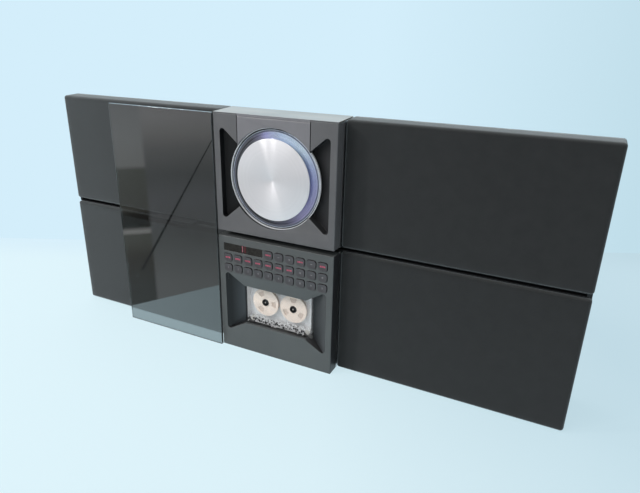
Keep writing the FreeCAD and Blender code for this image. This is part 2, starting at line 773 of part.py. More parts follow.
def disc_panel():
    across = ("-(%s)" % half, half)
    shell = block("disc_panel_block", across, (face, panel_back), (upper_bottom, under_cover))
    corners = rounded("disc_panel_soft", shell, sizes["panel_corner"],
                      lambda middle, way: abs(way.z) > 0.9 and middle.y < -sizes["centre_face"] + 1)
    hollow = block("disc_panel_hollow", ("-(%s) + panel_skin" % half, half + " - panel_skin"),
                   (skin, panel_back + " + 1"),
                   (upper_bottom + " + panel_skin", under_cover + " - panel_skin"))
    spot = ("0", "disc_middle")
    flap_half = "flap_width / 2 + seam"
    flap_floor = face + " + flap_thickness + seam"
    walls = [
        rod("well_wall", "y", face, well_floor + " + panel_skin", spot, "well_radius + panel_skin"),
        wing("left_wing_wall", "-", "panel_skin"),
        wing("right_wing_wall", "", "panel_skin"),
        block("flap_wall", ("-(%s) - panel_skin" % flap_half, flap_half + " + panel_skin"),
              (face, flap_floor + " + panel_skin"), ("disc_middle", under_cover)),
    ]
    whole = fuse("disc_panel_whole", cut("disc_panel_skirt", corners, hollow), *walls)
    hinge_z = hinge_height
    cuts = [
        rod("well", "y", face + " - 1", well_floor, spot, "well_radius"),
        wing("left_wing", "-", "0"),
        wing("right_wing", "", "0"),
        block("flap_seat", ("-(%s)" % flap_half, flap_half), (face + " - 1", flap_floor),
              ("disc_middle", "front_height + 1")),
        rod("turntable_hole", "y", well_floor + " - 1", well_floor + " + panel_skin + 1", spot,
            "turntable_radius + 2"),
        block("lens_slot", ("-lens_radius - 2", "lens_radius + 2"),
              (well_floor + " - 1", well_floor + " + panel_skin + 1"),
              ("disc_middle - sled_inner_radius - sled_travel - lens_radius - 1", "disc_middle")),
        rod("hinge_hole", "x", "-(%s) - hinge_pin_length" % flap_half, flap_half + " + hinge_pin_length",
            (hinge_depth, hinge_z), "hinge_pin_radius + pin_clearance"),
    ]
    node("disc_panel", cut("disc_panel_open", whole, *cuts))


def clamp_flap():
    across = ("-flap_width / 2", "flap_width / 2")
    plate = block("flap_plate", across, (face, face + " + flap_thickness"), ("disc_middle", hinge_height))
    middle = ("0", "disc_middle")
    arc = rod("flap_arc", "y", face + " - 1", face + " + flap_thickness + 1", middle, "well_radius")
    barrel = rod("flap_barrel", "x", *across, (hinge_depth, hinge_height), "flap_thickness / 2")
    pins = rod("flap_pins", "x", "-flap_width / 2 - hinge_pin_length", "flap_width / 2 + hinge_pin_length",
               (hinge_depth, hinge_height), "hinge_pin_radius")
    arm = block("flap_arm", ("-flap_arm_width / 2", "flap_arm_width / 2"), (arm_front, arm_back),
                ("disc_middle", "disc_middle + well_radius + 2"))
    ring = rod("flap_ring", "y", arm_front, arm_back, middle, "clamp_neck_radius + 4")
    bore = rod("flap_bore", "y", arm_front + " - 1", arm_back + " + 1", middle,
               "clamp_neck_radius + pin_clearance")
    whole = fuse("flap_whole", cut("flap_cut", plate, arc), barrel, pins, arm, ring)
    node("clamp_flap", cut("flap", whole, bore))


def clamp_disc():
    plate_front = "clamp_proud + disc_setback - flap_arm_setback + running_gap"
    plate_back = "clamp_proud + disc_setback - 0.1"
    rim = "clamp_thickness * 0.25"
    node("clamp_disc", turned("clamp", [
        ("0", "0"),
        ("clamp_diameter / 2 - %s" % rim, "0"),
        ("clamp_diameter / 2", rim),
        ("clamp_diameter / 2", "clamp_thickness"),
        ("clamp_neck_radius", "clamp_thickness"),
        ("clamp_neck_radius", plate_front),
        ("clamp_plate_radius", plate_front),
        ("clamp_plate_radius", plate_back),
        ("clamp_nose_radius", plate_back),
        ("clamp_nose_radius - 0.4", plate_back + " + clamp_nose_length"),
        ("0", plate_back + " + clamp_nose_length"),
    ], "y", ("0", face + " - clamp_proud", "disc_middle")))


def compact_disc():
    spot = ("0", "disc_middle")
    whole = rod("disc_blank", "y", disc_front, disc_back, spot, "disc_diameter / 2")
    hole = rod("disc_bore", "y", disc_front + " - 1", disc_back + " + 1", spot, "disc_hole / 2")
    node("compact_disc", cut("disc", whole, hole))


def turntable():
    boss = "disc_hole / 2 - pin_clearance"
    inner = boss + " - turntable_boss_wall"
    shaft_end = "motor_entry + mechanism_setback + mechanism_plate - disc_setback - disc_thickness"
    node("turntable", turned("platter", [
        ("0", "turntable_thickness * 0.75"),
        (inner, "turntable_thickness * 0.75"),
        (inner, "-turntable_boss_height"),
        (boss, "-turntable_boss_height"),
        (boss, "0"),
        ("turntable_radius", "0"),
        ("turntable_radius", "turntable_thickness"),
        ("spindle_radius * 4", "turntable_thickness"),
        ("spindle_radius * 4", "turntable_thickness * 2"),
        ("spindle_radius", "turntable_thickness * 2"),
        ("spindle_radius", shaft_end),
        ("0", shaft_end),
    ], "y", ("0", disc_back, "disc_middle")))


# Disc mechanism: a plate between the chassis walls that carries the spindle
# motor and, on two rods, the laser sled.
def disc_mechanism():
    inner = half + " - chassis_wall"
    plate_back = mechanism_face + " + mechanism_plate"
    plate = block("mechanism_sheet", ("-(%s)" % inner, inner), (mechanism_face, plate_back),
                  (upper_bottom + " + panel_skin + running_gap", under_cover + " - chassis_wall"))
    shaft_hole = rod("mechanism_hole", "y", mechanism_face + " - 1", plate_back + " + 1",
                     ("0", "disc_middle"), "spindle_radius + pin_clearance")
    pieces = [cut("mechanism_drilled", plate, shaft_hole)]
    for level, low in (("lower", rod_low), ("upper", rod_high)):
        pieces.append(block(level + "_rod_holder", ("-rod_half_spacing - 4", "rod_half_spacing + 4"),
                            (rod_depth + " - rod_radius - 1", mechanism_face), (low, low + " + rod_holder")))
    for side, sign in (("left", "-"), ("right", "")):
        pieces.append(rod(side + "_rod", "z", rod_low, rod_high + " + rod_holder",
                          (sign + "rod_half_spacing", rod_depth), "rod_radius"))
    node("disc_mechanism", fuse("mechanism", *pieces))


def laser_sled():
    body = block("sled_block", ("-sled_width / 2", "sled_width / 2"),
                 (sled_front, sled_front + " + sled_thickness"),
                 (sled_middle + " - sled_height / 2", sled_middle + " + sled_height / 2"))
    bores = [rod(side + "_sled_bore", "z", sled_middle + " - sled_height", sled_middle + " + sled_height",
                 (sign + "rod_half_spacing", rod_depth), "rod_radius + pin_clearance")
             for side, sign in (("left", "-"), ("right", ""))]
    lens = rod("lens", "y", disc_back + " + lens_gap", sled_front + " + 1", ("0", sled_middle), "lens_radius")
    node("laser_sled", cut("sled", fuse("sled_whole", body, lens), *bores))


# Cassette deck panel: skin and skirt, the recess round the cassette with its
# sloping corners, the pocket behind it, the key holes and the display opening.
cassette_middle = face + " + cassette_setback + cassette_thickness / 2"
pocket_back = cassette_middle + " + cassette_head_thickness / 2 + running_gap"
pocket_half = "cassette_width / 2 + pocket_clearance"
pocket_low = "cassette_bottom - pocket_clearance"
pocket_high = "cassette_bottom + cassette_height + pocket_clearance * 2"
hub_middle = "cassette_bottom + hub_height"


key_floor = "key_top_row - key_pitch_up * 2 - key_height / 2 - key_flange - running_gap"


def bay_outline(name, grow, front, back):
    out = "recess_half_width + " + grow
    knee = "bay_inner_half_width"
    outline = prism(name, "XZ", [
        (out, "bay_outer_top + %s * 2" % grow),
        (knee, "bay_inner_top + %s * 1.3" % grow),
        ("-" + knee, "bay_inner_top + %s * 1.3" % grow),
        ("-(%s)" % out, "bay_outer_top + %s * 2" % grow),
        ("-(%s)" % out, "bay_outer_bottom - %s * 2" % grow),
        ("-" + knee, "bay_inner_bottom - %s * 1.3" % grow),
        (knee, "bay_inner_bottom - %s * 1.3" % grow),
        (out, "bay_outer_bottom - %s * 2" % grow),
    ], front, back)
    reach = amount("recess_half_width") - 2
    return rounded(name + "_soft", outline, sizes["recess_corner"],
                   lambda middle, way: abs(way.y) > 0.9 and abs(middle.x) > reach)


def key_places():
    # the display takes the first four places of the top row
    places = []
    for row, word in enumerate(("top", "middle", "bottom")):
        first = 4 if row == 0 else 0
        for column in range(first, int(sizes["key_columns"])):
            x = "key_pitch_across * (%d - (key_columns - 1) / 2)" % column
            z = "key_top_row - key_pitch_up * %d" % row
            places.append(("key_%s_%02d" % (word, column + 1), x, z))
    return places


def deck_panel():
    across = ("-(%s)" % half, half)
    shell = block("deck_panel_block", across, (face, panel_back), ("0", lower_top))
    corners = rounded("deck_panel_soft", shell, sizes["panel_corner"],
                      lambda middle, way: abs(way.z) > 0.9 and middle.y < -sizes["centre_face"] + 1)
    hollow = block("deck_panel_hollow", ("-(%s) + panel_skin" % half, half + " - panel_skin"),
                   (skin, panel_back + " + 1"), ("panel_skin", lower_top + " - panel_skin"))
    post_places = [(x, z) for x in ("-mat_half_width + mat_post_radius", "mat_half_width - mat_post_radius")
                   for z in (mat_low + " + 5", mat_high + " - 5")]
    posts = [rod("mat_post_%d" % index, "y", skin + " - 1", mat_front, spot, "mat_post_radius")
             for index, spot in enumerate(post_places)]
    # the wall of the recess stays below the lowest keys
    under_keys = block("under_keys", across, (face, panel_back), ("0", key_floor))
    walls = [
        common("bay_wall_low", under_keys,
               bay_outline("bay_wall", "panel_skin", face, face + " + bay_depth + panel_skin")),
        block("pocket_wall", ("-(%s) - panel_skin" % pocket_half, pocket_half + " + panel_skin"),
              (face + " + bay_lip - panel_skin", pocket_back + " + panel_skin"),
              (pocket_low + " - panel_skin", pocket_high + " + panel_skin")),
    ]
    whole = fuse("deck_panel_whole", cut("deck_panel_skirt", corners, hollow), *walls, *posts)
    lip = prism("lip_slope", "YZ", [
        (face + " - 1", "bay_inner_top + lip_height"),
        (face, "bay_inner_top + lip_height"),
        (face + " + lip_fall", "bay_inner_top - 1"),
        (face + " - 1", "bay_inner_top - 1"),
    ], "-recess_half_width + 4", "recess_half_width - 4")
    cuts = [
        bay_outline("bay", "0", face + " - 1", face + " + bay_depth"),
        lip,
        block("pocket", ("-(%s)" % pocket_half, pocket_half), (face + " + bay_lip", pocket_back),
              (pocket_low, pocket_high)),
        block("head_slot", ("-head_slot_half_width", "head_slot_half_width"),
              (cassette_middle + " - head_slot_half_depth", cassette_middle + " + head_slot_half_depth"),
              ("bay_outer_bottom - 3", "cassette_bottom")),
        block("head_link_slot", ("-head_link_half_width - 1", "head_link_half_width + 1"),
              (cassette_middle, pocket_back + " + panel_skin + 1"),
              ("bay_outer_bottom - 3", "cassette_bottom")),
        rod("capstan_hole", "y", pocket_back + " - 1", pocket_back + " + panel_skin + 1",
            ("capstan_offset", capstan_height), "capstan_hole_radius"),
        block("display_opening", ("-window_left - 0.1", "-window_right + 0.1"),
              (face + " - 1", skin + " + 1"),
              ("key_top_row - window_height / 2 - 0.1", "key_top_row + window_height / 2 + 0.1")),
    ]
    for side, sign in (("left", "-"), ("right", "")):
        cuts.append(rod(side + "_reel_hole", "y", pocket_back + " - 1", pocket_back + " + panel_skin + 1",
                        (sign + "hub_spacing / 2", hub_middle), "hub_hole_radius + 1"))
    for name, x, z in key_places():
        hole = block(name + "_hole",
                     (x + " - key_width / 2 - key_clearance", x + " + key_width / 2 + key_clearance"),
                     (face + " - 1", skin + " + 1"),
                     (z + " - key_height / 2 - key_clearance", z + " + key_height / 2 + key_clearance"))
        cuts.append(rounded(name + "_hole_soft", hole, sizes["key_corner"], corner_edges))
    node("deck_panel", cut("deck_panel_open", whole, *cuts))


def display_window():
    node("display_window", block("window", ("-window_left", "-window_right"),
                                 (face, face + " + window_thickness"),
                                 ("key_top_row - window_height / 2", "key_top_row + window_height / 2")))


# Keys: a cap with round corners and a shallow dish, a flange behind the panel
# that keeps it in, and a stem that reaches the rubber mat.
flange_front = skin + " + 0.2"
stem_back = flange_front + " + key_flange_thickness + key_stem_length"
mat_front = stem_back + " + key_travel + 0.2"
mat_low = key_floor + " + running_gap"
mat_high = "key_top_row + key_height / 2 + 2"


def keys():
    for name, x, z in key_places():
        cap_box = block(name + "_cap", (x + " - key_width / 2", x + " + key_width / 2"),
                        (face + " - key_proud", flange_front + " + 0.2"),
                        (z + " - key_height / 2", z + " + key_height / 2"))
        cap = rounded(name + "_cap_soft", cap_box, sizes["key_corner"], corner_edges)
        dish = doc.addObject("Part::Sphere", name + "_dish")
        tie(dish, "Radius", "key_dish_radius")
        place(dish, x, face + " - key_proud - key_dish_radius + key_dish_depth", z)
        flange = block(name + "_flange",
                       (x + " - key_width / 2 - key_flange", x + " + key_width / 2 + key_flange"),
                       (flange_front, flange_front + " + key_flange_thickness"),
                       (z + " - key_height / 2 - key_flange", z + " + key_height / 2 + key_flange"))
        stem = block(name + "_stem", (x + " - key_stem / 2", x + " + key_stem / 2"),
                     (flange_front, stem_back), (z + " - key_stem / 2", z + " + key_stem / 2"))
        node(name, fuse(name + "_whole", cut(name + "_dished", cap, dish), flange, stem))


def key_mat():
    node("key_mat", block("mat", ("-mat_half_width", "mat_half_width"),
                          (mat_front, mat_front + " + key_mat_thickness"), (mat_low, mat_high)))


# Compact cassette: a thin shell, thicker where the heads enter, with hub holes
# right through, a capstan hole on each side and three windows in its edge.
capstan_height = "cassette_bottom + capstan_rise"


def cassette_shell():
    half_thick = "cassette_thickness / 2"
    half_head = "cassette_head_thickness / 2"
    across = ("-cassette_width / 2", "cassette_width / 2")
    slab_box = block("cassette_slab", across,
                     (cassette_middle + " - " + half_thick, cassette_middle + " + " + half_thick),
                     ("cassette_bottom", "cassette_bottom + cassette_height"))
    slab = rounded("cassette_slab_soft", slab_box, sizes["cassette_corner"], corner_edges)
    head = prism("cassette_head", "XZ", [
        ("-cassette_head_half_width", "cassette_bottom"),
        ("cassette_head_half_width", "cassette_bottom"),
        ("cassette_head_half_width - 1.5", "cassette_bottom + cassette_head_height"),
        ("-cassette_head_half_width + 1.5", "cassette_bottom + cassette_head_height"),
    ], cassette_middle + " - " + half_head, cassette_middle + " + " + half_head)
    inner = block("cassette_hollow",
                  ("-cassette_width / 2 + cassette_wall", "cassette_width / 2 - cassette_wall"),
                  (cassette_middle + " - %s + cassette_wall" % half_thick,
                   cassette_middle + " + %s - cassette_wall" % half_thick),
                  ("cassette_bottom + cassette_wall", "cassette_bottom + cassette_height - cassette_wall"))
    span = (cassette_middle + " - " + half_head + " - 1", cassette_middle + " + " + half_head + " + 1")
    cuts = [inner]
    for side, sign in (("left", "-"), ("right", "")):
        cuts.append(rod(side + "_hub_hole", "y", *span, (sign + "hub_spacing / 2", hub_middle),
                        "hub_hole_radius"))
        cuts.append(rod(side + "_capstan_hole", "y", *span, (sign + "capstan_offset", capstan_height),
                        "capstan_hole_radius"))
        cuts.append(block(side + "_edge_window",
                          (sign + "capstan_offset - edge_window_half_width",
                           sign + "capstan_offset + edge_window_half_width"),
                          (cassette_middle + " - %s + cassette_wall" % half_thick,
                           cassette_middle + " + %s - cassette_wall" % half_thick),
                          ("cassette_bottom - 1", "cassette_bottom + cassette_wall + 1")))
    cuts.append(block("middle_edge_window", ("-head_half_width - 1.5", "head_half_width + 1.5"),
                      (cassette_middle + " - %s + cassette_wall" % half_thick,
                       cassette_middle + " + %s - cassette_wall" % half_thick),
                      ("cassette_bottom - 1", "cassette_bottom + cassette_wall + 1")))
    node("cassette_shell", cut("cassette", fuse("cassette_whole", slab, head), *cuts))


def reels():
    # tape pack on its hub, with the drive spindle and reel table behind the deck plate
    table_front = "(%s) - (%s) + running_gap" % (plate_rear, cassette_middle)
    table_back = table_front + " + reel_table"
    rear = table_back + " + reel_table"
    for side, sign in (("left", "-"), ("right", "")):
        node(side + "_reel", turned(side + "_tape_reel", [
            ("0", "pack_thickness * 0.2"),
            ("reel_hub_radius * 0.65", "pack_thickness * 0.2"),
            ("reel_hub_radius * 0.65", "-cassette_thickness / 2 + 0.3"),
            ("reel_hub_radius", "-cassette_thickness / 2 + 0.3"),
            ("reel_hub_radius", "-pack_thickness / 2"),
            ("pack_radius", "-pack_thickness / 2"),
            ("pack_radius", "pack_thickness / 2"),
            ("reel_hub_radius", "pack_thickness / 2"),
            ("reel_hub_radius", "cassette_thickness / 2 - 0.3"),
            ("reel_spindle_radius", "cassette_thickness / 2 - 0.3"),
            ("reel_spindle_radius", table_front),
            ("reel_table_radius", table_front),
            ("reel_table_radius", table_back),
            ("reel_spindle_radius", table_back),
            ("reel_spindle_radius", rear),
            ("0", rear),
        ], "y", (sign + "hub_spacing / 2", cassette_middle, hub_middle)))


# Deck mechanism: a plate behind the panel's pocket that carries the reel
# spindles, the capstan with its motor on three posts, and the head bridge.
plate_front = pocket_back + " + panel_skin"
plate_rear = plate_front + " + mechanism_plate"
motor_front = plate_rear + " + capstan_space"


def deck_plate():
    inner = half + " - chassis_wall"
    sheet_part = block("deck_sheet", ("-(%s)" % inner, inner), (plate_front, plate_rear),
                       ("chassis_wall", shelf_top + " - chassis_wall - 4"))
    holes = [rod(side + "_spindle_hole", "y", plate_front + " - 1", plate_rear + " + 1",
                 (sign + "hub_spacing / 2", hub_middle), "reel_spindle_radius + pin_clearance")
             for side, sign in (("left", "-"), ("right", ""))]
    holes.append(rod("capstan_bearing", "y", plate_front + " - 1", plate_rear + " + 1",
                     ("capstan_offset", capstan_height), "spindle_radius + pin_clearance"))
    posts = [rod("motor_post_%d" % index, "y", plate_rear, motor_front,
                 ("capstan_offset + %.4f * motor_post_circle" % math.cos(turn),
                  "%s + %.4f * motor_post_circle" % (capstan_height, math.sin(turn))), "motor_post_radius")
             for index, turn in enumerate(math.radians(degrees) for degrees in (90, 210, 330))]
    node("deck_plate", fuse("deck_plate_whole", cut("deck_sheet_drilled", sheet_part, *holes), *posts))


def capstan():
    tip = "-cassette_thickness / 2"
    wheel_front = "(%s) - (%s) + running_gap * 2" % (plate_rear, cassette_middle)
    wheel_back = "(%s) - (%s) - running_gap * 2" % (motor_front, cassette_middle)
    end = "(%s) - (%s) + motor_entry" % (motor_front, cassette_middle)
    node("capstan", turned("capstan_shaft", [
        ("0", tip),
        ("spindle_radius", tip),
        ("spindle_radius", wheel_front),
        ("flywheel_radius", wheel_front),
        ("flywheel_radius", wheel_back),
        ("spindle_radius", wheel_back),
        ("spindle_radius", end),
        ("0", end),
    ], "y", ("capstan_offset", cassette_middle, capstan_height)))


def head_bridge():
    # sliding bridge with three heads; it rises into the cassette's edge to play
    depth = (cassette_middle + " - head_depth / 2", cassette_middle + " + head_depth / 2")
    base_top = "cassette_bottom - head_travel - 2.4"
    parts = [
        block("bridge_bar", ("-head_slot_half_width + 1", "head_slot_half_width - 1"), depth,
              (base_top + " - bridge_height", base_top)),
        block("bridge_link", ("-head_link_half_width", "head_link_half_width"),
              (cassette_middle, plate_front + " - running_gap / 2"),
              (base_top + " - bridge_height", base_top)),
        block("play_head", ("-head_half_width", "head_half_width"), depth,
              (base_top, "cassette_bottom - pocket_clearance")),
    ]
    for side, sign in (("left", "-"), ("right", "")):
        middle = sign + "capstan_offset"
        parts.append(block(side + "_head",
                           (middle + " - head_half_width / 2", middle + " + head_half_width / 2"),
                           depth, (base_top, "cassette_bottom - pocket_clearance * 2")))
    node("head_bridge", fuse("bridge", *parts))


# Glass door: a sheet of smoked glass parked in front of the left speaker. Its
# carriage reaches back through the groove into a rail, and a toothed rack on
# the carriage is driven by a pinion.
glass_back = face + " - glass_gap"
door_middle = "-door_travel"
pitch_line = "-rail_front + blade_reach"
pinion_depth = pitch_line + " + gear_module * pinion_teeth / 2"
shelf_top = "groove_middle - rail_height / 2 - shelf_gap"


def glass_door():
    sheet_of_glass = block("glass", (door_middle + " - glass_width / 2", door_middle + " + glass_width / 2"),
                           (glass_back + " - glass_thickness", glass_back),
                           ("glass_lift", "glass_lift + glass_height"))
    node("glass_door", rounded("glass_soft", sheet_of_glass, sizes["glass_edge"], lambda middle, way: True))


def door_rail():
    span = (" - (%s) + rail_end_margin" % wide, wide + " - rail_end_margin")
    bar = block("rail_bar", span, ("-rail_front", baffle_front),
                ("groove_middle - rail_height / 2", "groove_middle + rail_height / 2"))
    channel = block("rail_channel", span, ("-rail_front - 1", baffle_front + " - rail_web"),
                    ("groove_middle - rail_height / 2 + rail_wall",
                     "groove_middle + rail_height / 2 - rail_wall"))
    reach = "gear_module * (pinion_teeth / 2 + 1) + 1"
    window = block("rail_window", ("-pinion_position - (%s)" % reach, "-pinion_position + %s" % reach),
                   (pitch_line, baffle_front + " + 1"),
                   ("groove_middle - rail_height / 2 - 1", "groove_middle + rail_height / 2 - rail_wall"))
    node("door_rail", cut("rail", bar, channel, window))


def door_carriage():
    blade_z = ("groove_middle - blade_thickness / 2", "groove_middle + blade_thickness / 2")
    across = (door_middle + " - blade_arm_half_width", door_middle + " + blade_arm_half_width")
    arm = block("carriage_arm", across, (glass_back, "-rail_front + 3"), blade_z)
    pad = block("carriage_pad", across, (glass_back, glass_back + " + carriage_pad"),
                ("groove_middle - speaker_groove / 2", "groove_middle + speaker_groove / 2"))
    rack = doc.addObject("Part::Feature", "carriage_rack")
    rack.Shape = rack_shape()
    node("door_carriage", fuse("carriage", arm, pad, rack))


def tooth_widths():
    # half thickness of a tooth at its tip, pitch line and root
    middle = (math.pi * sizes["gear_module"] / 2 - sizes["gear_backlash"]) / 2
    slope = math.tan(math.radians(20))
    return (middle - sizes["gear_module"] * slope, middle, middle + 1.25 * sizes["gear_module"] * slope)


def rack_shape():
    module = sizes["gear_module"]
    pitch = math.pi * module
    line = -sizes["rail_front"] + sizes["blade_reach"]
    start = -amount("door_travel + rack_left")
    stop = -amount("door_travel - rack_right")
    tip, middle, root = tooth_widths()
    front = -sizes["rail_front"] + 1.5
    low = amount("groove_middle") - sizes["blade_thickness"] / 2
    # a rack gap faces the pinion's own tooth at rest
    first = -amount("pinion_position") - pitch * (
        math.floor((-amount("pinion_position") - start) / pitch) - 0.5)
    points = [Vector(start, front, low), Vector(stop, front, low), Vector(stop, line - 1.25 * module, low)]
    count = int((stop - root - first) / pitch) + 1
    for index in reversed(range(count)):
        x = first + index * pitch
        points += [Vector(x + root, line - 1.25 * module, low), Vector(x + tip, line + module, low),
                   Vector(x - tip, line + module, low), Vector(x - root, line - 1.25 * module, low)]
    points.append(Vector(start, line - 1.25 * module, low))
    face_of_rack = Part.Face(Part.makePolygon(points + points[:1]))
    return face_of_rack.extrude(Vector(0, 0, sizes["blade_thickness"]))


def pinion_shape():
    module = sizes["gear_module"]
    teeth = int(sizes["pinion_teeth"])
    radius = module * teeth / 2
    tip, middle, root = tooth_widths()
    low = amount("groove_middle") - sizes["blade_thickness"] / 2
    points = []
    for index in range(teeth):
        # the first tooth points at the rack, along -Y
        centre = -math.pi / 2 + 2 * math.pi * index / teeth
        for reach, half_width in ((radius - 1.25 * module, -root), (radius, -middle), (radius + module, -tip),
                                  (radius + module, tip), (radius, middle), (radius - 1.25 * module, root)):
            turn = centre + half_width / radius
            points.append(Vector(reach * math.cos(turn), reach * math.sin(turn), low))
    wheel = Part.Face(Part.makePolygon(points + points[:1])).extrude(Vector(0, 0, sizes["blade_thickness"]))
    foot = (amount("groove_middle") - sizes["rail_height"] / 2 - sizes["shelf_gap"] - sizes["chassis_wall"]
            - sizes["motor_entry"])
    shaft = Part.makeCylinder(sizes["spindle_radius"], low + 0.5 - foot, Vector(0, 0, foot))
    return wheel.fuse(shaft)


def door_pinion():
    pinion = doc.addObject("Part::Feature", "pinion")
    pinion.Shape = pinion_shape()
    depth = -sizes["rail_front"] + sizes["blade_reach"] + sizes["gear_module"] * sizes["pinion_teeth"] / 2
    pinion.Placement = FreeCAD.Placement(Vector(-amount("pinion_position"), depth, 0), Rotation())
    node("door_pinion", pinion)


def drive_motors():
    # three like motors, each with a bore that takes the shaft it drives
    outline = [
        ("spindle_radius + pin_clearance", "0"),
        ("motor_radius - 1", "0"),
        ("motor_radius", "1"),
        ("motor_radius", "motor_length"),
        ("0", "motor_length"),
        ("0", "motor_entry + 1"),
        ("spindle_radius + pin_clearance", "motor_entry + 1"),
    ]
    disc_motor = turned("spindle_motor", outline, "y",
                        ("0", mechanism_face + " + mechanism_plate", "disc_middle"))
    deck_motor = turned("capstan_motor", outline, "y", ("capstan_offset", motor_front, capstan_height))
    door_motor = turned("door_motor", outline, "z",
                        ("-pinion_position", pinion_depth, shelf_top + " - chassis_wall"))
    door_motor.Placement = FreeCAD.Placement(Vector(), Rotation(Vector(1, 0, 0), 180))
    place(door_motor, "-pinion_position", pinion_depth, shelf_top + " - chassis_wall")
    node("drive_motors", group("motor_set", disc_motor, deck_motor, door_motor))


# Electronics in the rear cabinet: a board on four pillars, a transformer on
# the cabinet floor, and the sockets in the back wall.
def main_board():
    plate = block("board", ("-board_width / 2", "board_width / 2"),
                  ("board_face", "board_face + board_thickness"),
                  ("board_bottom", "board_bottom + board_height"))
    chips = []
    # each chip's place and size as shares of the board, and its height in chip depths
    for index, (x, z, wide_x, tall, deep) in enumerate((
            (-0.31, 0.71, 0.17, 0.22, 1), (-0.04, 0.73, 0.21, 0.13, 1), (0.27, 0.67, 0.13, 0.27, 1),
            (-0.29, 0.27, 0.10, 0.31, 3), (0.07, 0.24, 0.26, 0.09, 2), (0.33, 0.25, 0.11, 0.15, 4))):
        chips.append(block("chip_%d" % index,
                           ("board_width * %.3f" % (x - wide_x / 2), "board_width * %.3f" % (x + wide_x / 2)),
                           ("board_face - chip_depth * %d" % deep, "board_face"),
                           ("board_bottom + board_height * %.3f" % (z - tall / 2),
                            "board_bottom + board_height * %.3f" % (z + tall / 2))))
    node("main_board", fuse("board_whole", plate, *chips))


def power_transformer():
    middle = "(%s + cabinet_back) / 2" % ridge
    core = block("core", ("-transformer_width / 2", "transformer_width / 2"),
                 (middle + " - transformer_depth * 0.25", middle + " + transformer_depth * 0.25"),
                 ("cabinet_wall", "cabinet_wall + transformer_height"))
    coil = block("coil", ("-transformer_width * 0.3", "transformer_width * 0.3"),
                 (middle + " - transformer_depth / 2", middle + " + transformer_depth / 2"),
                 ("cabinet_wall + transformer_height * 0.17", "cabinet_wall + transformer_height * 0.83"))
    soft_coil = rounded("coil_soft", coil, 4.0, along("z"))
    node("power_transformer", fuse("transformer", core, soft_coil))


def rear_sockets():
    plate = block("socket_face", ("-socket_width / 2", "socket_width / 2"),
                  ("cabinet_back - socket_plate", "cabinet_back"),
                  ("socket_bottom", "socket_bottom + socket_height"))
    middle_z = "socket_bottom + socket_height / 2"
    inlet = block("inlet_body", ("-socket_width / 2 + 6", "-socket_width / 2 + 32"),
                  ("cabinet_back - socket_depth", "cabinet_back"), (middle_z + " - 8", middle_z + " + 8"))
    jacks = [rod("jack_%d" % index, "y", "cabinet_back - socket_depth", "cabinet_back",
                 ("%d" % x, middle_z), radius)
             for index, (x, radius) in enumerate(((4, "8"), (23, "8"), (39, "6")))]
    whole = fuse("socket_whole", plate, inlet, *jacks)
    mouth = block("inlet_mouth", ("-socket_width / 2 + 10", "-socket_width / 2 + 28"),
                  ("cabinet_back - socket_depth + 2", "cabinet_back + 1"),
                  (middle_z + " - 4.5", middle_z + " + 4.5"))
    cuts = [rounded("inlet_mouth_soft", mouth, 4.0, corner_edges)]
    for index, (x, radius) in enumerate(((4, "6.5"), (23, "6.5"), (39, "4.6"))):
        cuts.append(rod("jack_mouth_%d" % index, "y", "cabinet_back - socket_depth + 2", "cabinet_back + 1",
                        ("%d" % x, middle_z), radius))
    pins = [rod("inlet_pin_%d" % index, "y", "cabinet_back - socket_depth + 1", "cabinet_back - 1",
                ("-socket_width / 2 + %d" % x, middle_z), "1.2")
            for index, x in enumerate((15, 23))]
    pins.append(rod("aerial_pin", "y", "cabinet_back - socket_depth + 1", "cabinet_back - 1",
                    ("39", middle_z), "1"))
    node("rear_sockets", fuse("sockets", cut("socket_open", whole, *cuts), *pins))


rear_cabinet()
cabinet_screws()
speaker_baffles()
drive_units()
grille_frames()
grille_cloth()
centre_chassis()
top_cover()
disc_panel()
clamp_flap()
clamp_disc()
compact_disc()
turntable()
disc_mechanism()
laser_sled()
deck_panel()
display_window()
keys()
key_mat()
cassette_shell()
reels()
deck_plate()
capstan()
head_bridge()
glass_door()
door_rail()
door_carriage()
door_pinion()
drive_motors()
main_board()
power_transformer()
rear_sockets()

doc.recompute()
for thing in doc.Objects:
    if "Invalid" in thing.State or "Error" in thing.State:
        raise RuntimeError("failed object: %s %s" % (thing.Name, thing.State))
for label, thing in sub_parts.items():
    if thing.Shape.isNull() or not thing.Shape.isValid() or thing.Shape.Volume <= 0:
        raise RuntimeError("bad shape: " + label)

os.makedirs("parts", exist_ok=True)
for label, thing in sub_parts.items():
    thing.Shape.exportStep("parts/%s.step" % label)
    box = thing.Shape.BoundBox
    print("%-20s solids %2d  volume %9.0f  x %7.1f %7.1f  y %6.1f %6.1f  z %6.1f %6.1f" % (
        label, len(thing.Shape.Solids), thing.Shape.Volume,
        box.XMin, box.XMax, box.YMin, box.YMax, box.ZMin, box.ZMax))
print(len(sub_parts), "nodes")
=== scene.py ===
import math

import bmesh
import bpy
from mathutils import Matrix, Vector, noise
from mathutils.bvhtree import BVHTree


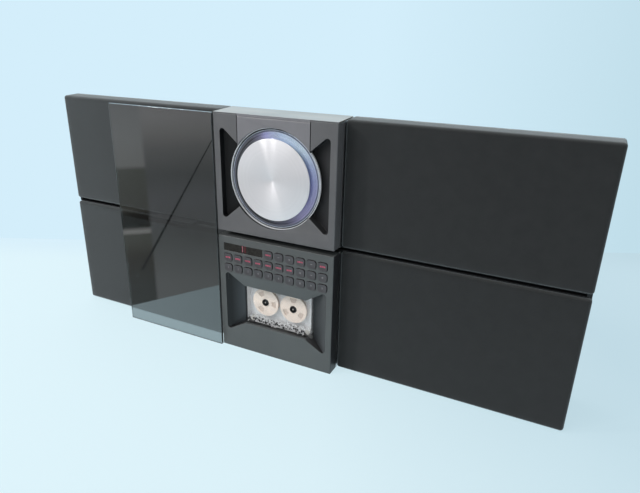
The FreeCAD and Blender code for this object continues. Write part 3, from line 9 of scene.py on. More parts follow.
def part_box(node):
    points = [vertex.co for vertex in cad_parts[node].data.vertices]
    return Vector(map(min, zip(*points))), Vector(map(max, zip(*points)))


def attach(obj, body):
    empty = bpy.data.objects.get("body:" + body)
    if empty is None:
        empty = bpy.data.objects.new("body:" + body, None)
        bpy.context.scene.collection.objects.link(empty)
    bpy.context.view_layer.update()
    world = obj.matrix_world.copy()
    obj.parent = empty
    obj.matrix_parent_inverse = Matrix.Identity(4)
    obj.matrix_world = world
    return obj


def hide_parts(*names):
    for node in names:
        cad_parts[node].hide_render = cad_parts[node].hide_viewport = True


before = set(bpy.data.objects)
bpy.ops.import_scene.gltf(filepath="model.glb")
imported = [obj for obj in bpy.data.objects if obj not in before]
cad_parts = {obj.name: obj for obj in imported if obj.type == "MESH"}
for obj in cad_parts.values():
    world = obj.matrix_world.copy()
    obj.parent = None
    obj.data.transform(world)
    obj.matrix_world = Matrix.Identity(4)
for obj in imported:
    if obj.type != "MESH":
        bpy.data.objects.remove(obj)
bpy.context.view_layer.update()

mm = 0.001
scene = bpy.context.scene
scene.view_settings.view_transform = "Standard"
print("stage: frame loaded,", len(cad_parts), "nodes")


# Small helpers

finishes = {}                   # every material of the object, by its name
softEdge = {"steps": 2, "above": math.radians(32)}
weldReach = 0.005 * mm
looseWeld = 0.01 * mm
uvPerMetre = 10


def inMetres(sizes):
    # sizes written in millimetres
    return {name: tuple(part * mm for part in size) if isinstance(size, tuple) else size * mm
            for name, size in sizes.items()}


def ink(red, green, blue):
    # a colour written as 0 to 255 for each part, as a screen shows it
    def linear(value):
        part = value / 255
        return part / 12.92 if part <= 0.04045 else ((part + 0.055) / 1.055) ** 2.4
    return (linear(red), linear(green), linear(blue), 1.0)


def lighter(colour, factor):
    return tuple(min(1.0, part * factor) for part in colour[:3]) + (1.0,)


def middleOf(node):
    low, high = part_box(node)
    return (low + high) / 2


def turnTo(step, steps):
    return 2 * math.pi * step / steps


def around(middle, radius, turn, depth):
    # a point on a circle round the Y axis through middle
    return middle.x + radius * math.cos(turn), depth, middle.z + radius * math.sin(turn)


def addObject(name, data):
    holder = bpy.data.objects.new(name, data)
    scene.collection.objects.link(holder)
    return holder


def addPiece(name, mesh, body, looks=(), replaced=()):
    # looks are the names of its finishes
    piece = addObject(name, mesh)
    for look in looks:
        mesh.materials.append(finishes[look])
    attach(piece, body)
    if replaced:
        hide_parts(*replaced)
    return piece


def shadeSmooth(mesh, below=35):
    mesh.polygons.foreach_set("use_smooth", [True] * len(mesh.polygons))
    mesh.set_sharp_from_angle(angle=math.radians(below))
    return mesh


def meshFrom(form, name, smoothBelow=35):
    mesh = bpy.data.meshes.new(name)
    form.to_mesh(mesh)
    form.free()
    return shadeSmooth(mesh, smoothBelow)


def weld(form, reach=weldReach):
    bmesh.ops.remove_doubles(form, verts=form.verts[:], dist=reach)


def addForm(form, name, body, looks, replaced=()):
    # a form built here becomes a piece, with its faces turned outwards
    bmesh.ops.recalc_face_normals(form, faces=form.faces[:])
    return addPiece(name, meshFrom(form, name), body, looks, replaced)


def softenEdges(piece, width):
    bevel = piece.modifiers.new("softEdges", "BEVEL")
    bevel.width = width
    bevel.segments = softEdge["steps"]
    bevel.limit_method = "ANGLE"
    bevel.angle_limit = softEdge["above"]
    bevel.use_clamp_overlap = False
    bevel.harden_normals = True


def thicken(piece, thickness, offset):
    wall = piece.modifiers.new("thickness", "SOLIDIFY")
    wall.thickness = thickness
    wall.offset = offset


def addBlock(form, low, high, material=0):
    corners = [form.verts.new((x, y, z)) for x in (low[0], high[0]) for y in (low[1], high[1])
               for z in (low[2], high[2])]
    for loop in ((0, 1, 3, 2), (4, 6, 7, 5), (0, 4, 5, 1), (2, 3, 7, 6), (0, 2, 6, 4), (1, 5, 7, 3)):
        form.faces.new([corners[index] for index in loop]).material_index = material


def addTurned(form, profile, centre, steps, materials=None):
    # turns a profile of (radius, y) in millimetres about the Y axis; U goes round and V along the profile
    layer = form.loops.layers.uv.verify()
    points = [(radius * mm, depth * mm) for radius, depth in profile]
    lengths = [0.0]
    for before, after in zip(points, points[1:]):
        lengths.append(lengths[-1] + math.dist(before, after))
    rings = [[form.verts.new(around(centre, radius, turnTo(step, steps), depth))
              for step in range(steps if radius else 1)] for radius, depth in points]
    for index, (inner, outer) in enumerate(zip(rings, rings[1:])):
        for step in range(steps):
            corners = []
            for ring, along, way in ((inner, index, 1), (outer, index + 1, -1)):
                if len(ring) == 1:
                    corners.append((ring[0], step + 0.5, along))
                else:
                    after = (step + 1) % steps
                    corners += [(ring[step], step, along), (ring[after], step + 1, along)][::way]
            face = form.faces.new([corner[0] for corner in corners])
            if materials:
                face.material_index = materials[index]
            for loop, (vertex, across, along) in zip(face.loops, corners):
                loop[layer].uv = (across / steps, lengths[along] * uvPerMetre)


# Camera at the photograph's angle

camera = {
    "place": (0.3189, -0.5821, 0.3999),
    "yaw": 0.4430,
    "pitch": 0.3635,
    "roll": 0.0245,
    "lens": 29.80,
    "film": 36.0,
}
ahead = Vector((-math.sin(camera["yaw"]), math.cos(camera["yaw"]), 0))
aside = Vector((math.cos(camera["yaw"]), math.sin(camera["yaw"]), 0))


def makeCamera():
    pitch, roll = camera["pitch"], camera["roll"]
    forward = ahead * math.cos(pitch) + Vector((0, 0, -math.sin(pitch)))
    upright = aside.cross(forward)
    right = aside * math.cos(roll) + upright * math.sin(roll)
    up = upright * math.cos(roll) - aside * math.sin(roll)
    turn = Matrix((right, up, -forward)).transposed().to_4x4()
    turn.translation = Vector(camera["place"])
    eye = bpy.data.cameras.new("photoCamera")
    eye.lens = camera["lens"]
    eye.sensor_width = camera["film"]
    scene.camera = addObject("photoCamera", eye)
    scene.camera.matrix_world = turn


makeCamera()
print("stage: camera placed")


# Node helpers: what is given for a socket is a link, a list of links or a plain value

def fill(tree, socket, value):
    for one in value if isinstance(value, list) else [value]:
        if isinstance(one, bpy.types.NodeSocket):
            tree.links.new(one, socket)
        else:
            socket.default_value = one


def put(tree, kind, inputs=None, family="ShaderNode", **settings):
    made = tree.nodes.new(family + kind)
    for name, value in settings.items():
        setattr(made, name, value)
    for name, value in (inputs or {}).items():
        fill(tree, made.inputs[name], value)
    return made


def give(tree, kind, inputs=None, **settings):
    # adds a node and hands back its first output
    return put(tree, kind, inputs, **settings).outputs[0]


def calc(tree, operation, *values, **settings):
    return give(tree, "Math", dict(enumerate(values)), operation=operation, **settings)


def times(tree, first, second):
    return calc(tree, "MULTIPLY", first, second)


def dot(tree, first, second):
    return put(tree, "VectorMath", {0: first, 1: second}, operation="DOT_PRODUCT").outputs["Value"]


def axesOf(tree, vector):
    return put(tree, "SeparateXYZ", {0: vector}).outputs


def joinAxes(tree, **parts):
    return give(tree, "CombineXYZ", parts)


def span(tree, value, low, high, toLow=0.0, toHigh=1.0, **settings):
    return give(tree, "MapRange", {"Value": value, "From Min": low, "From Max": high, "To Min": toLow,
                                   "To Max": toHigh}, **settings)


def mix(tree, share, first, second):
    return put(tree, "Mix", {0: share, 6: first, 7: second}, data_type="RGBA").outputs[2]


def mixShaders(tree, share, first, second):
    return give(tree, "MixShader", {0: share, 1: first, 2: second})


def noiseOn(tree, place, scale, detail=2.0, roughness=0.5):
    return give(tree, "TexNoise", {"Vector": place, "Scale": scale, "Detail": detail, "Roughness": roughness})


def rays(tree):
    return put(tree, "LightPath").outputs


def newGroup(name, outputs, **amounts):
    # each effect reads a place and plain numbers, and puts out masks and heights
    tree = bpy.data.node_groups.new(name, "ShaderNodeTree")
    tree.interface.new_socket("Vector", in_out="INPUT", socket_type="NodeSocketVector")
    for label, value in amounts.items():
        tree.interface.new_socket(label, in_out="INPUT", socket_type="NodeSocketFloat").default_value = value
    for label in outputs:
        tree.interface.new_socket(label, in_out="OUTPUT", socket_type="NodeSocketFloat")
    return tree, tree.nodes.new("NodeGroupInput").outputs, tree.nodes.new("NodeGroupOutput").inputs


def useGroup(tree, group, **inputs):
    made = tree.nodes.new("ShaderNodeGroup")
    made.node_tree = group
    for name, value in inputs.items():
        fill(tree, made.inputs[name], value)
    return made.outputs


def buildEdgeWear():
    # light where a surface bends sharply, broken up by patches
    tree, given, result = newGroup("edgeWear", ["Mask"], Reach=0.8 * mm)
    rounded = give(tree, "Bevel", {"Radius": given["Reach"]}, samples=4)
    same = dot(tree, rounded, put(tree, "NewGeometry").outputs["Normal"])
    patches = noiseOn(tree, given["Vector"], 160.0, 3.0)
    broken = span(tree, patches, 0.35, 0.65, 0.35, 1.0)
    fill(tree, result["Mask"], times(tree, span(tree, same, 0.999, 0.93), broken))
    return tree


def buildMouldGrain():
    # fine pebbled skin of moulded plastic or paint, with a slow drift of tone
    tree, given, result = newGroup("mouldGrain", ["Height", "Tone"], Scale=1400.0)
    cells = put(tree, "TexVoronoi", {"Vector": given["Vector"], "Scale": given["Scale"]}, feature="SMOOTH_F1")
    fill(tree, result["Height"], cells.outputs["Distance"])
    fill(tree, result["Tone"], span(tree, noiseOn(tree, given["Vector"], 24.0, 4.0, 0.6), 0.3, 0.7))
    return tree


def buildDustAndSheen():
    # dust that lies on what faces up; on the speaker cloth it also lightens the tops as painted sheen
    tree, given, result = newGroup("dustAndSheen", ["Mask"], Amount=0.2)
    facing = axesOf(tree, put(tree, "NewGeometry").outputs["Normal"])["Z"]
    level = times(tree, span(tree, facing, 0.2, 1.0), given["Amount"])
    specks = noiseOn(tree, given["Vector"], 1500.0, 3.0)
    fill(tree, result["Mask"], times(tree, level, span(tree, specks, 0.25, 0.9)))
    return tree


def buildTurnedLines():
    # fine rings left by turning, about the Y axis through the vector's zero
    tree, given, result = newGroup("turnedLines", ["Height", "Tone"], Pitch=0.3 * mm)
    parts = axesOf(tree, given["Vector"])
    flat = joinAxes(tree, X=parts["X"], Z=parts["Z"])
    radius = put(tree, "VectorMath", {0: flat}, operation="LENGTH").outputs["Value"]
    turns = calc(tree, "DIVIDE", radius, given["Pitch"])
    for label, scale, detail in (("Height", 1.0, 2.0), ("Tone", 0.12, 1.0)):
        fill(tree, result[label], give(tree, "TexNoise", {"W": turns, "Scale": scale, "Detail": detail},
                                       noise_dimensions="1D"))
    return tree


def buildWeave():
    # plain weave on a surface measured in metres: threads cross over and under
    tree, given, result = newGroup("weave", ["Height", "Slub"], Pitch=0.75 * mm)
    parts = axesOf(tree, given["Vector"])
    waves = [calc(tree, "SINE", times(tree, calc(tree, "DIVIDE", parts[axis], given["Pitch"]), math.pi))
             for axis in ("X", "Y")]
    over = calc(tree, "GREATER_THAN", times(tree, *waves), 0.0)
    across, along = (calc(tree, "ABSOLUTE", wave) for wave in waves)
    weft = times(tree, calc(tree, "SUBTRACT", 1.0, over), along)
    fill(tree, result["Height"], calc(tree, "ADD", times(tree, over, across), weft))
    fill(tree, result["Slub"], span(tree, noiseOn(tree, given["Vector"], 55.0, 5.0, 0.65), 0.3, 0.7))
    return tree


def buildBrushed():
    # long fine scratches along X
    tree, given, result = newGroup("brushed", ["Height", "Tone"], Scale=900.0)
    stretched = give(tree, "Mapping", {"Vector": given["Vector"], "Scale": (0.012, 1.0, 1.0)})
    fill(tree, result["Height"], noiseOn(tree, stretched, given["Scale"], 3.0))
    fill(tree, result["Tone"], noiseOn(tree, given["Vector"], 18.0))
    return tree


edgeWear = buildEdgeWear()
mouldGrain = buildMouldGrain()
dustAndSheen = buildDustAndSheen()
turnedLines = buildTurnedLines()
weave = buildWeave()
brushed = buildBrushed()
print("stage: shader groups built")


def newMaterial(name, sockets=None):
    material = bpy.data.materials.new(name)
    material.use_nodes = True
    finishes[name] = material
    tree = material.node_tree
    shader = tree.nodes["Principled BSDF"]
    for label, value in (sockets or {}).items():
        shader.inputs[label].default_value = value
    return tree, shader


def localPlace(tree, middle=None):
    # the object's own coordinates, or those about an axis along Y through middle
    place = put(tree, "TexCoord").outputs["Object"]
    if middle:
        place = give(tree, "Mapping", {"Vector": place, "Location": (-middle.x, 0, -middle.z)})
    return place


def paint(tree, shader, base, rough):
    fill(tree, shader.inputs["Base Color"], base)
    fill(tree, shader.inputs["Roughness"], rough)


def addRelief(tree, shader, height, distance):
    bump = give(tree, "Bump", {"Height": height, "Distance": distance, "Strength": 1.0})
    fill(tree, shader.inputs["Normal"], bump)


def solidFinish(name, colour, rough, grain=1400.0, relief=0.02, drift=0.08, wear=0.25, dusty=0.15,
                sockets=None):
    # moulded plastic, paint and other plain solids: grain, slow drift, worn edges and a little dust
    tree, shader = newMaterial(name, sockets)
    place = localPlace(tree)
    skin = useGroup(tree, mouldGrain, Vector=place, Scale=grain)
    base = mix(tree, skin["Tone"], lighter(colour, 1 - drift), lighter(colour, 1 + drift))
    worn = useGroup(tree, edgeWear, Vector=place)["Mask"]
    base = mix(tree, times(tree, worn, wear), base, lighter(colour, 2.2))
    dustAndSheenMask = useGroup(tree, dustAndSheen, Vector=place, Amount=dusty)["Mask"]
    paint(tree, shader, mix(tree, dustAndSheenMask, base, ink(168, 172, 174)),
          span(tree, skin["Tone"], 0.0, 1.0, rough - 0.04, rough + 0.05))
    addRelief(tree, shader, skin["Height"], relief * mm)


def metalFinish(name, colour, rough, lines=900.0, relief=0.004, wear=0.5, sockets=None):
    # drawn or rolled metal with fine scratches along X
    tree, shader = newMaterial(name, {"Metallic": 1.0, **(sockets or {})})
    place = localPlace(tree)
    scratches = useGroup(tree, brushed, Vector=place, Scale=lines)
    base = mix(tree, scratches["Tone"], lighter(colour, 0.92), lighter(colour, 1.06))
    worn = useGroup(tree, edgeWear, Vector=place, Reach=0.5 * mm)["Mask"]
    paint(tree, shader, mix(tree, times(tree, worn, wear), base, lighter(colour, 1.25)),
          span(tree, scratches["Height"], 0.3, 0.7, rough - 0.06, rough + 0.08))
    addRelief(tree, shader, scratches["Height"], relief * mm)


def seeThroughFinish(name, colour, rough, cover, coverDrift=0.05):
    # thin clear or smoked plastic: what lies behind shows through
    tree, shader = newMaterial(name, {"IOR": 1.5})
    smear = noiseOn(tree, localPlace(tree), 140.0, 5.0)
    paint(tree, shader, mix(tree, smear, lighter(colour, 0.9), lighter(colour, 1.05)),
          span(tree, smear, 0.3, 0.7, rough * 0.7, rough * 1.3))
    fill(tree, shader.inputs["Alpha"], span(tree, smear, 0.3, 0.7, cover - coverDrift, cover + coverDrift))


def clearFinish(name, colour, rough, weight):
    # solid clear plastic
    tree, shader = newMaterial(name, {"Transmission Weight": weight, "IOR": 1.49})
    smear = noiseOn(tree, localPlace(tree), 300.0, 4.0)
    paint(tree, shader, mix(tree, smear, lighter(colour, 0.96), colour),
          span(tree, smear, 0.3, 0.7, rough * 0.7, rough * 1.3))


# Floor, backdrop, lamps and world

studio = {
    "floorSize": 9.0,
    "wallAhead": 1.057,
    "wallHeight": 5.0,
    "floorBright": ink(220, 244, 252),
    "floorDim": ink(198, 227, 239),
    "floorFade": (0.0, 0.42),           # how far aside of the camera the floor dims
    "wallBright": ink(212, 238, 251),
    "wallDim": ink(193, 222, 234),
    "wallFade": (0.1, 0.65),
    "farFade": (0.93, 1.06),            # how far ahead the floor takes the backdrop's shade
    "paper": ink(226, 236, 240),
    "kept": 0.80,                       # how much of the floor glows by itself: the rest takes the shadow
    "worldColour": (0.93, 0.97, 1.0, 1.0),
    "worldStrength": 0.40,
    "roomLow": ink(196, 197, 197),
    "roomHigh": ink(228, 224, 220),
}
glassFace = -0.053                      # how far forward the glass that mirrors the room lies
# what shiny parts mirror: the paper ends on their left, and the room goes on past it; its shades are laid out
# from the eye's own mirror image, by bearing and by nearness
room = {
    "paperEdge": (-0.278, -0.087),
    "paperSide": (0.863, 0.505),
    "paperSoft": 0.0015,
    "mirrorEye": (camera["place"][0], 2 * glassFace - camera["place"][1]),
    "bearing": math.radians(42),
    "nearest": 0.3,
    "columnEdge": (0.034, 0.040),
    "shades": [(0.10, ink(220, 219, 220)), (0.13, ink(212, 211, 212)), (0.155, ink(195, 195, 194)),
               (0.18, ink(167, 168, 168)), (0.23, ink(133, 136, 137)), (0.28, ink(148, 151, 155)),
               (0.36, ink(145, 150, 150)), (0.45, ink(168, 173, 174))],
    "column": [(0.10, ink(198, 201, 203)), (0.16, ink(207, 210, 211)), (0.212, ink(197, 199, 198)),
               (0.218, ink(131, 134, 126)), (0.295, ink(122, 123, 117)), (0.302, ink(70, 70, 66)),
               (0.326, ink(58, 58, 54)), (0.330, ink(116, 117, 112)), (0.334, ink(223, 223, 221)),
               (0.339, ink(223, 223, 221)), (0.343, ink(131, 134, 125)), (0.365, ink(123, 124, 116)),
               (0.39, ink(99, 96, 89)), (0.45, ink(102, 106, 104))],
    "cordSide": (0.852, -0.523),
    "cordPlace": (-0.368, -0.200),
    "cordHalf": 0.0024,
    "cordEnd": 0.005,
    "cordShade": ink(52, 52, 50),
}


def seenDirectly(tree):
    # rays that should meet the pale background: from the camera, off metal and through glass
    path = rays(tree)
    both = calc(tree, "ADD", path["Is Camera Ray"], path["Is Glossy Ray"])
    return calc(tree, "ADD", both, path["Is Transmission Ray"], use_clamp=True)


def placeAlong(tree, direction, start=camera["place"]):
    # how far a point of the stage lies along a direction, from under the camera unless told otherwise
    place = put(tree, "TexCoord").outputs["Object"]
    fromStart = give(tree, "Mapping", {"Vector": place, "Location": (-start[0], -start[1], 0)})
    return dot(tree, fromStart, tuple(direction))


def addRamp(tree, share, stops):
    ramp = put(tree, "ValToRGB", {0: share})
    elements = ramp.color_ramp.elements
    while len(elements) < len(stops):
        elements.new(0.5)
    for element, (spot, colour) in zip(elements, stops):
        element.position = spot
        element.color = colour
    return ramp.outputs[0]


def roomColour(tree):
    turn = room["bearing"]
    onward = placeAlong(tree, (-math.sin(turn), -math.cos(turn), 0), room["mirrorEye"])
    onward = calc(tree, "MAXIMUM", onward, room["nearest"])
    sideways = placeAlong(tree, (-math.cos(turn), math.sin(turn), 0), room["mirrorEye"])
    near = calc(tree, "DIVIDE", camera["place"][2], onward)
    beside = span(tree, calc(tree, "DIVIDE", sideways, onward), *room["columnEdge"])
    colour = mix(tree, beside, addRamp(tree, near, room["shades"]), addRamp(tree, near, room["column"]))
    # a dark cord lies across the room's floor
    side, half, end = room["cordSide"], room["cordHalf"], room["cordEnd"]
    across = calc(tree, "ABSOLUTE", placeAlong(tree, (*side, 0), room["cordPlace"]))
    along = placeAlong(tree, (side[1], -side[0], 0), room["cordPlace"])
    cord = times(tree, span(tree, across, half * 1.6, half * 0.6), span(tree, along, -end, end))
    return mix(tree, cord, colour, room["cordShade"])


def backdropShade(tree):
    share = span(tree, placeAlong(tree, aside), *studio["wallFade"])
    return mix(tree, share, studio["wallBright"], studio["wallDim"])


def floorShade(tree, glossy):
    near = mix(tree, span(tree, placeAlong(tree, aside), *studio["floorFade"]), studio["floorBright"],
               studio["floorDim"])
    far = span(tree, placeAlong(tree, ahead), *studio["farFade"], interpolation_type="SMOOTHSTEP")
    soft = room["paperSoft"]
    past = span(tree, placeAlong(tree, (*room["paperSide"], 0), room["paperEdge"]), soft, -soft)
    return mix(tree, times(tree, glossy, past), mix(tree, far, near, backdropShade(tree)), roomColour(tree))


def addPaper(name, corners, isFloor):
    form = bmesh.new()
    form.faces.new([form.verts.new(corner) for corner in corners])
    mesh = bpy.data.meshes.new(name)
    form.to_mesh(mesh)
    form.free()
    material = bpy.data.materials.new(name + "Paper")
    material.use_nodes = True
    mesh.materials.append(material)
    tree = material.node_tree
    tree.nodes.remove(tree.nodes["Principled BSDF"])
    share = seenDirectly(tree)
    glossy = rays(tree)["Is Glossy Ray"]
    glow = give(tree, "Emission", {"Color": floorShade(tree, glossy) if isFloor else backdropShade(tree),
                                   "Strength": 1.0})
    if isFloor:
        share = times(tree, share, calc(tree, "MAXIMUM", studio["kept"], glossy))
    seen = mixShaders(tree, share, give(tree, "BsdfDiffuse", {"Color": studio["paper"]}), glow)
    if not isFloor:
        # the backdrop is clear from behind
        behind = put(tree, "NewGeometry").outputs["Backfacing"]
        seen = mixShaders(tree, behind, seen, give(tree, "BsdfTransparent"))
    fill(tree, tree.nodes["Material Output"].inputs["Surface"], seen)
    return addObject(name, mesh)


def makeStage():
    half = studio["floorSize"]
    floor = addPaper("floor", ((-half, -half, 0), (half, -half, 0), (half, half, 0), (-half, half, 0)), True)
    foot = Vector((*camera["place"][:2], 0)) + ahead * studio["wallAhead"]
    rise = Vector((0, 0, studio["wallHeight"]))
    left, right = foot - aside * half, foot + aside * half
    wall = addPaper("backdrop", (left, right, right + rise, left + rise), False)
    wall.visible_shadow = False
    wall.visible_diffuse = False


def makeWorld():
    world = bpy.data.worlds.new("softRoom")
    scene.world = world
    world.use_nodes = True
    tree = world.node_tree
    base = tree.nodes["Background"]
    base.inputs["Color"].default_value = studio["worldColour"]
    base.inputs["Strength"].default_value = studio["worldStrength"]
    height = axesOf(tree, put(tree, "TexCoord").outputs["Generated"])["Z"]
    ceiling = mix(tree, span(tree, height, 0.05, 0.6), studio["roomLow"], studio["roomHigh"])
    seen = mix(tree, rays(tree)["Is Glossy Ray"], studio["wallBright"], ceiling)
    pale = give(tree, "Background", {"Color": seen, "Strength": 1.0})
    fill(tree, tree.nodes["World Output"].inputs["Surface"],
         mixShaders(tree, seenDirectly(tree), base.outputs[0], pale))


lamps = {
    "windowLeft": {"place": (-1.20, -0.85, 1.20), "size": 0.18, "power": 8.5, "colour": (1.0, 0.99, 0.97)},
    "windowMiddle": {"place": (-0.85, -1.25, 1.30), "size": 0.16, "power": 4.0, "colour": (1.0, 0.99, 0.98)},
    "front": {"place": (-0.35, -1.0, 1.15), "size": 0.9, "power": 5.0, "colour": (1.0, 1.0, 1.0)},
    "above": {"place": (-1.0, 0.30, 1.7), "size": 1.2, "power": 12.0, "colour": (1.0, 1.0, 1.0)},
}
lampTarget = Vector((0, 0, 0.16))


def makeLamps():
    for name, facts in lamps.items():
        lamp = bpy.data.lights.new(name, "AREA")
        lamp.shape = "SQUARE"
        lamp.size = facts["size"]
        lamp.energy = facts["power"]
        lamp.color = facts["colour"]
        holder = addObject(name, lamp)
        holder.location = facts["place"]
        holder.rotation_mode = "QUATERNION"
        holder.rotation_quaternion = (lampTarget - Vector(facts["place"])).to_track_quat("-Z", "Y")


makeStage()
makeWorld()
makeLamps()
print("stage: floor, backdrop and lamps ready")


# Finishes that CAD nodes and pieces share

solidFinish("panelGrey", ink(97, 97, 99), 0.40, dusty=0.05)
solidFinish("deckGrey", ink(86, 89, 89), 0.40, dusty=0.05)
solidFinish("recessGrey", ink(42, 42, 44), 0.45, dusty=0.05)
# painted shade: the left finger recess and the walls of the flap's seams, darker than the same plastic
# elsewhere
solidFinish("recessShade", ink(20, 21, 23), 0.55, wear=0.0, dusty=0.0, sockets={"Specular IOR Level": 0.3})
# painted light: a lighter copy of the panel's grey for the flap, at the top of the face, where more light
# falls
solidFinish("flapLitGrey", ink(123, 122, 126), 0.36, dusty=0.05)
solidFinish("railBlack", ink(22, 23, 25), 0.5, grain=2200.0, relief=0.006, wear=0.2, dusty=0.05,
            sockets={"Specular IOR Level": 0.35})
solidFinish("cabinetPlastic", ink(42, 43, 45), 0.55, grain=900.0, relief=0.04)
solidFinish("darkPlastic", ink(34, 34, 36), 0.5, grain=1100.0, relief=0.03)
solidFinish("rubberMat", ink(30, 30, 30), 0.8, grain=2400.0, wear=0.0)
solidFinish("blackScrews", ink(40, 40, 42), 0.34, grain=3000.0, relief=0.006, wear=0.8,
            sockets={"Metallic": 0.6})
solidFinish("boardGreen", ink(28, 74, 48), 0.42, grain=500.0, relief=0.01, drift=0.2)
solidFinish("transformerCore", ink(88, 84, 78), 0.5, grain=700.0, relief=0.03, drift=0.2)
solidFinish("speakerCone", ink(44, 43, 42), 0.85, grain=500.0, relief=0.05, drift=0.2, wear=0.0)
solidFinish("baffleBoard", ink(52, 47, 42), 0.7, grain=350.0, relief=0.05, drift=0.25)
metalFinish("zincSteel", ink(186, 188, 190), 0.38, lines=500.0)
metalFinish("turnedSteel", ink(206, 206, 204), 0.22)
metalFinish("coverSilver", ink(203, 195, 189), 0.42, lines=1300.0, relief=0.006, wear=0.0,
            sockets={"Anisotropic": 0.3})

finishOfNode = {
    "zincSteel": ["centre_chassis", "deck_plate", "disc_mechanism", "drive_motors"],
    # painted shade: the door rail is black, so the groove it runs in reads dark
    "railBlack": ["door_rail"],
    "turnedSteel": ["capstan", "head_bridge", "turntable"],
    "darkPlastic": ["door_carriage", "door_pinion", "grille_frames", "laser_sled", "rear_sockets"],
    "rubberMat": ["key_mat"],
    "boardGreen": ["main_board"],
    "transformerCore": ["power_transformer"],
    "speakerCone": ["woofers", "tweeters"],
    "baffleBoard": ["speaker_baffles"],
}


def dressNodes():
    for finish, nodes in finishOfNode.items():
        for node in nodes:
            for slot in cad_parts[node].material_slots:
                slot.material = finishes[finish]


dressNodes()
print("stage: carried nodes dressed")


# Copies of CAD nodes with softened edges

def copiedForm(node):
    form = bmesh.new()
    form.from_mesh(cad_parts[node].data)
    weld(form)
    bmesh.ops.dissolve_limit(form, angle_limit=math.radians(0.6), verts=form.verts[:], edges=form.edges[:])
    return form


def softCopy(node, body, looks, width, choose=None):
    # choose tells the look of each face by its middle
    form = copiedForm(node)
    if choose:
        for face in form.faces:
            face.material_index = choose(face.calc_center_median())
    label = node + "_soft"
    piece = addPiece(label, meshFrom(form, label), body, looks, [node])
    softenEdges(piece, width)
    return piece


centre = inMetres({
    "edge": 0.5,
    "flapEdge": 0.35,
    "coverEdge": 0.2,
    "cabinetEdge": 0.6,
    "slopeEdge": 0.4,
    "recessInset": 0.6,
    "recessReach": 76,
    "recessTop": 310,
    "darkRecess": -40,
    "bayHalf": 50.6,
    "bayHeights": (26, 112),
    "ledge": 41.4,
    "ledgeNear": 0.6,
    "lip": (95, 114),
    "lipDepth": (0.3, 1.2),
    "seamPlace": 49.3,
    "seamWall": (0.2, 0.6),
    "seamFoot": 270,
    "seamOpened": 0.35,
    "faceNear": 0.1,                    # how near a face or a point counts as lying there
    "pointNear": 0.05,
    "armHalf": 10,
    "armTop": 58,
    "armDepth": (1, 4),
    # the sloping sides of the cassette bay: across and up, and how deep the slope starts
    "rampOuter": 74.55,
    "rampInner": 52.5,
    "rampFront": 0.12,
    "rampDeep": 13.4,
    "rampOuterSpan": (26, 114.2),
    "rampInnerSpan": (38.2, 100.8),
    # the flap's grey on the cover's front edge
    "flapHalf": 49.2,
    "flapSeam": 0.4,
    "bandDrop": 1.0,
    "bandTop": 2.62,
    "bandDepth": (-0.03, 0.22),
    "bandSeamDepth": (-0.02, 0.05),
})
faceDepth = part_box("disc_panel")[0].y


def within(value, limits):
    return limits[0] < value < limits[1]


def discPanelFace(spot):
    # 1 is the well and the right finger recess, 2 the left one and the walls of the flap's seams, darker as
    # painted shade
    if within(abs(spot.x) - centre["seamPlace"], centre["seamWall"]) and spot.z > centre["seamFoot"]:
        return 2
    recessed = spot.y > faceDepth + centre["recessInset"] and spot.z < centre["recessTop"]
    if recessed and abs(spot.x) < centre["recessReach"]:
        return 2 if spot.x < centre["darkRecess"] else 1
    return 0


def deckPanelFace(spot):
    # 1 is the bay's sides, 2 the ledge before the cassette, whose finish is painted shade, 3 the lip under
    # the keys, which takes the lighter panel grey as painted light
    deep = spot.y > faceDepth + centre["recessInset"]
    inBay = abs(spot.x) < centre["bayHalf"]
    if deep and inBay and abs(spot.z - centre["ledge"]) < centre["ledgeNear"]:
        return 2
    if within(spot.y - faceDepth, centre["lipDepth"]) and within(spot.z, centre["lip"]):
        return 3
    return 1 if deep and abs(spot.x) > centre["bayHalf"] and within(spot.z, centre["bayHeights"]) else 0


def flapFace(spot):
    # 1 is the clear arm that holds the clamp, 2 the flap's ends in their seams, which take painted shade
    inArm = abs(spot.x) < centre["armHalf"] and spot.z < middleOf("clamp_disc").z + centre["armTop"]
    if inArm and within(spot.y - faceDepth, centre["armDepth"]):
        return 1
    return 2 if abs(abs(spot.x) - centre["seamPlace"]) < centre["faceNear"] else 0


def depthShadeFinish(name, front, back, start, end):
    # the bay's plastic with painted shade: its colour changes with depth behind the face
    tree, shader = newMaterial(name, {"Specular IOR Level": 0.35})
    place = localPlace(tree)
    skin = useGroup(tree, mouldGrain, Vector=place)
    depth = calc(tree, "ADD", axesOf(tree, place)["Y"], times(tree, skin["Tone"], 0.6 * mm))
    share = span(tree, depth, faceDepth + start * mm, faceDepth + end * mm)
    paint(tree, shader, mix(tree, share, front, back), span(tree, skin["Tone"], 0.0, 1.0, 0.4, 0.5))
    addRelief(tree, shader, skin["Height"], 0.02 * mm)


def makeBaySlopes():
    # on each side of the cassette the bay's floor rises to the face
    form = bmesh.new()
    near, deep = faceDepth + centre["rampFront"], faceDepth + centre["rampDeep"]
    for sign in (-1, 1):
        outer, inner = sign * centre["rampOuter"], sign * centre["rampInner"]
        front, floor, back = ([form.verts.new((across, depth, z)) for z in centre[heights]]
                              for across, depth, heights in ((outer, near, "rampOuterSpan"),
                                                             (inner, deep, "rampInnerSpan"),
                                                             (outer, deep, "rampOuterSpan")))
        # painted shade: the left slope, facing away from the left light, takes the finish that is dark at the
        # front
        form.faces.new((front[0], floor[0], floor[1], front[1])).material_index = 1 if sign < 0 else 0
        for corners in ((back[0], front[0], front[1], back[1]), (floor[0], back[0], back[1], floor[1]),
                        (front[0], back[0], floor[0]), (front[1], floor[1], back[1])):
            form.faces.new(corners)
    piece = addForm(form, "bay_side_slopes", "console", ["slopeDepthShade", "slopeLeftShade"], ())
    softenEdges(piece, centre["slopeEdge"])


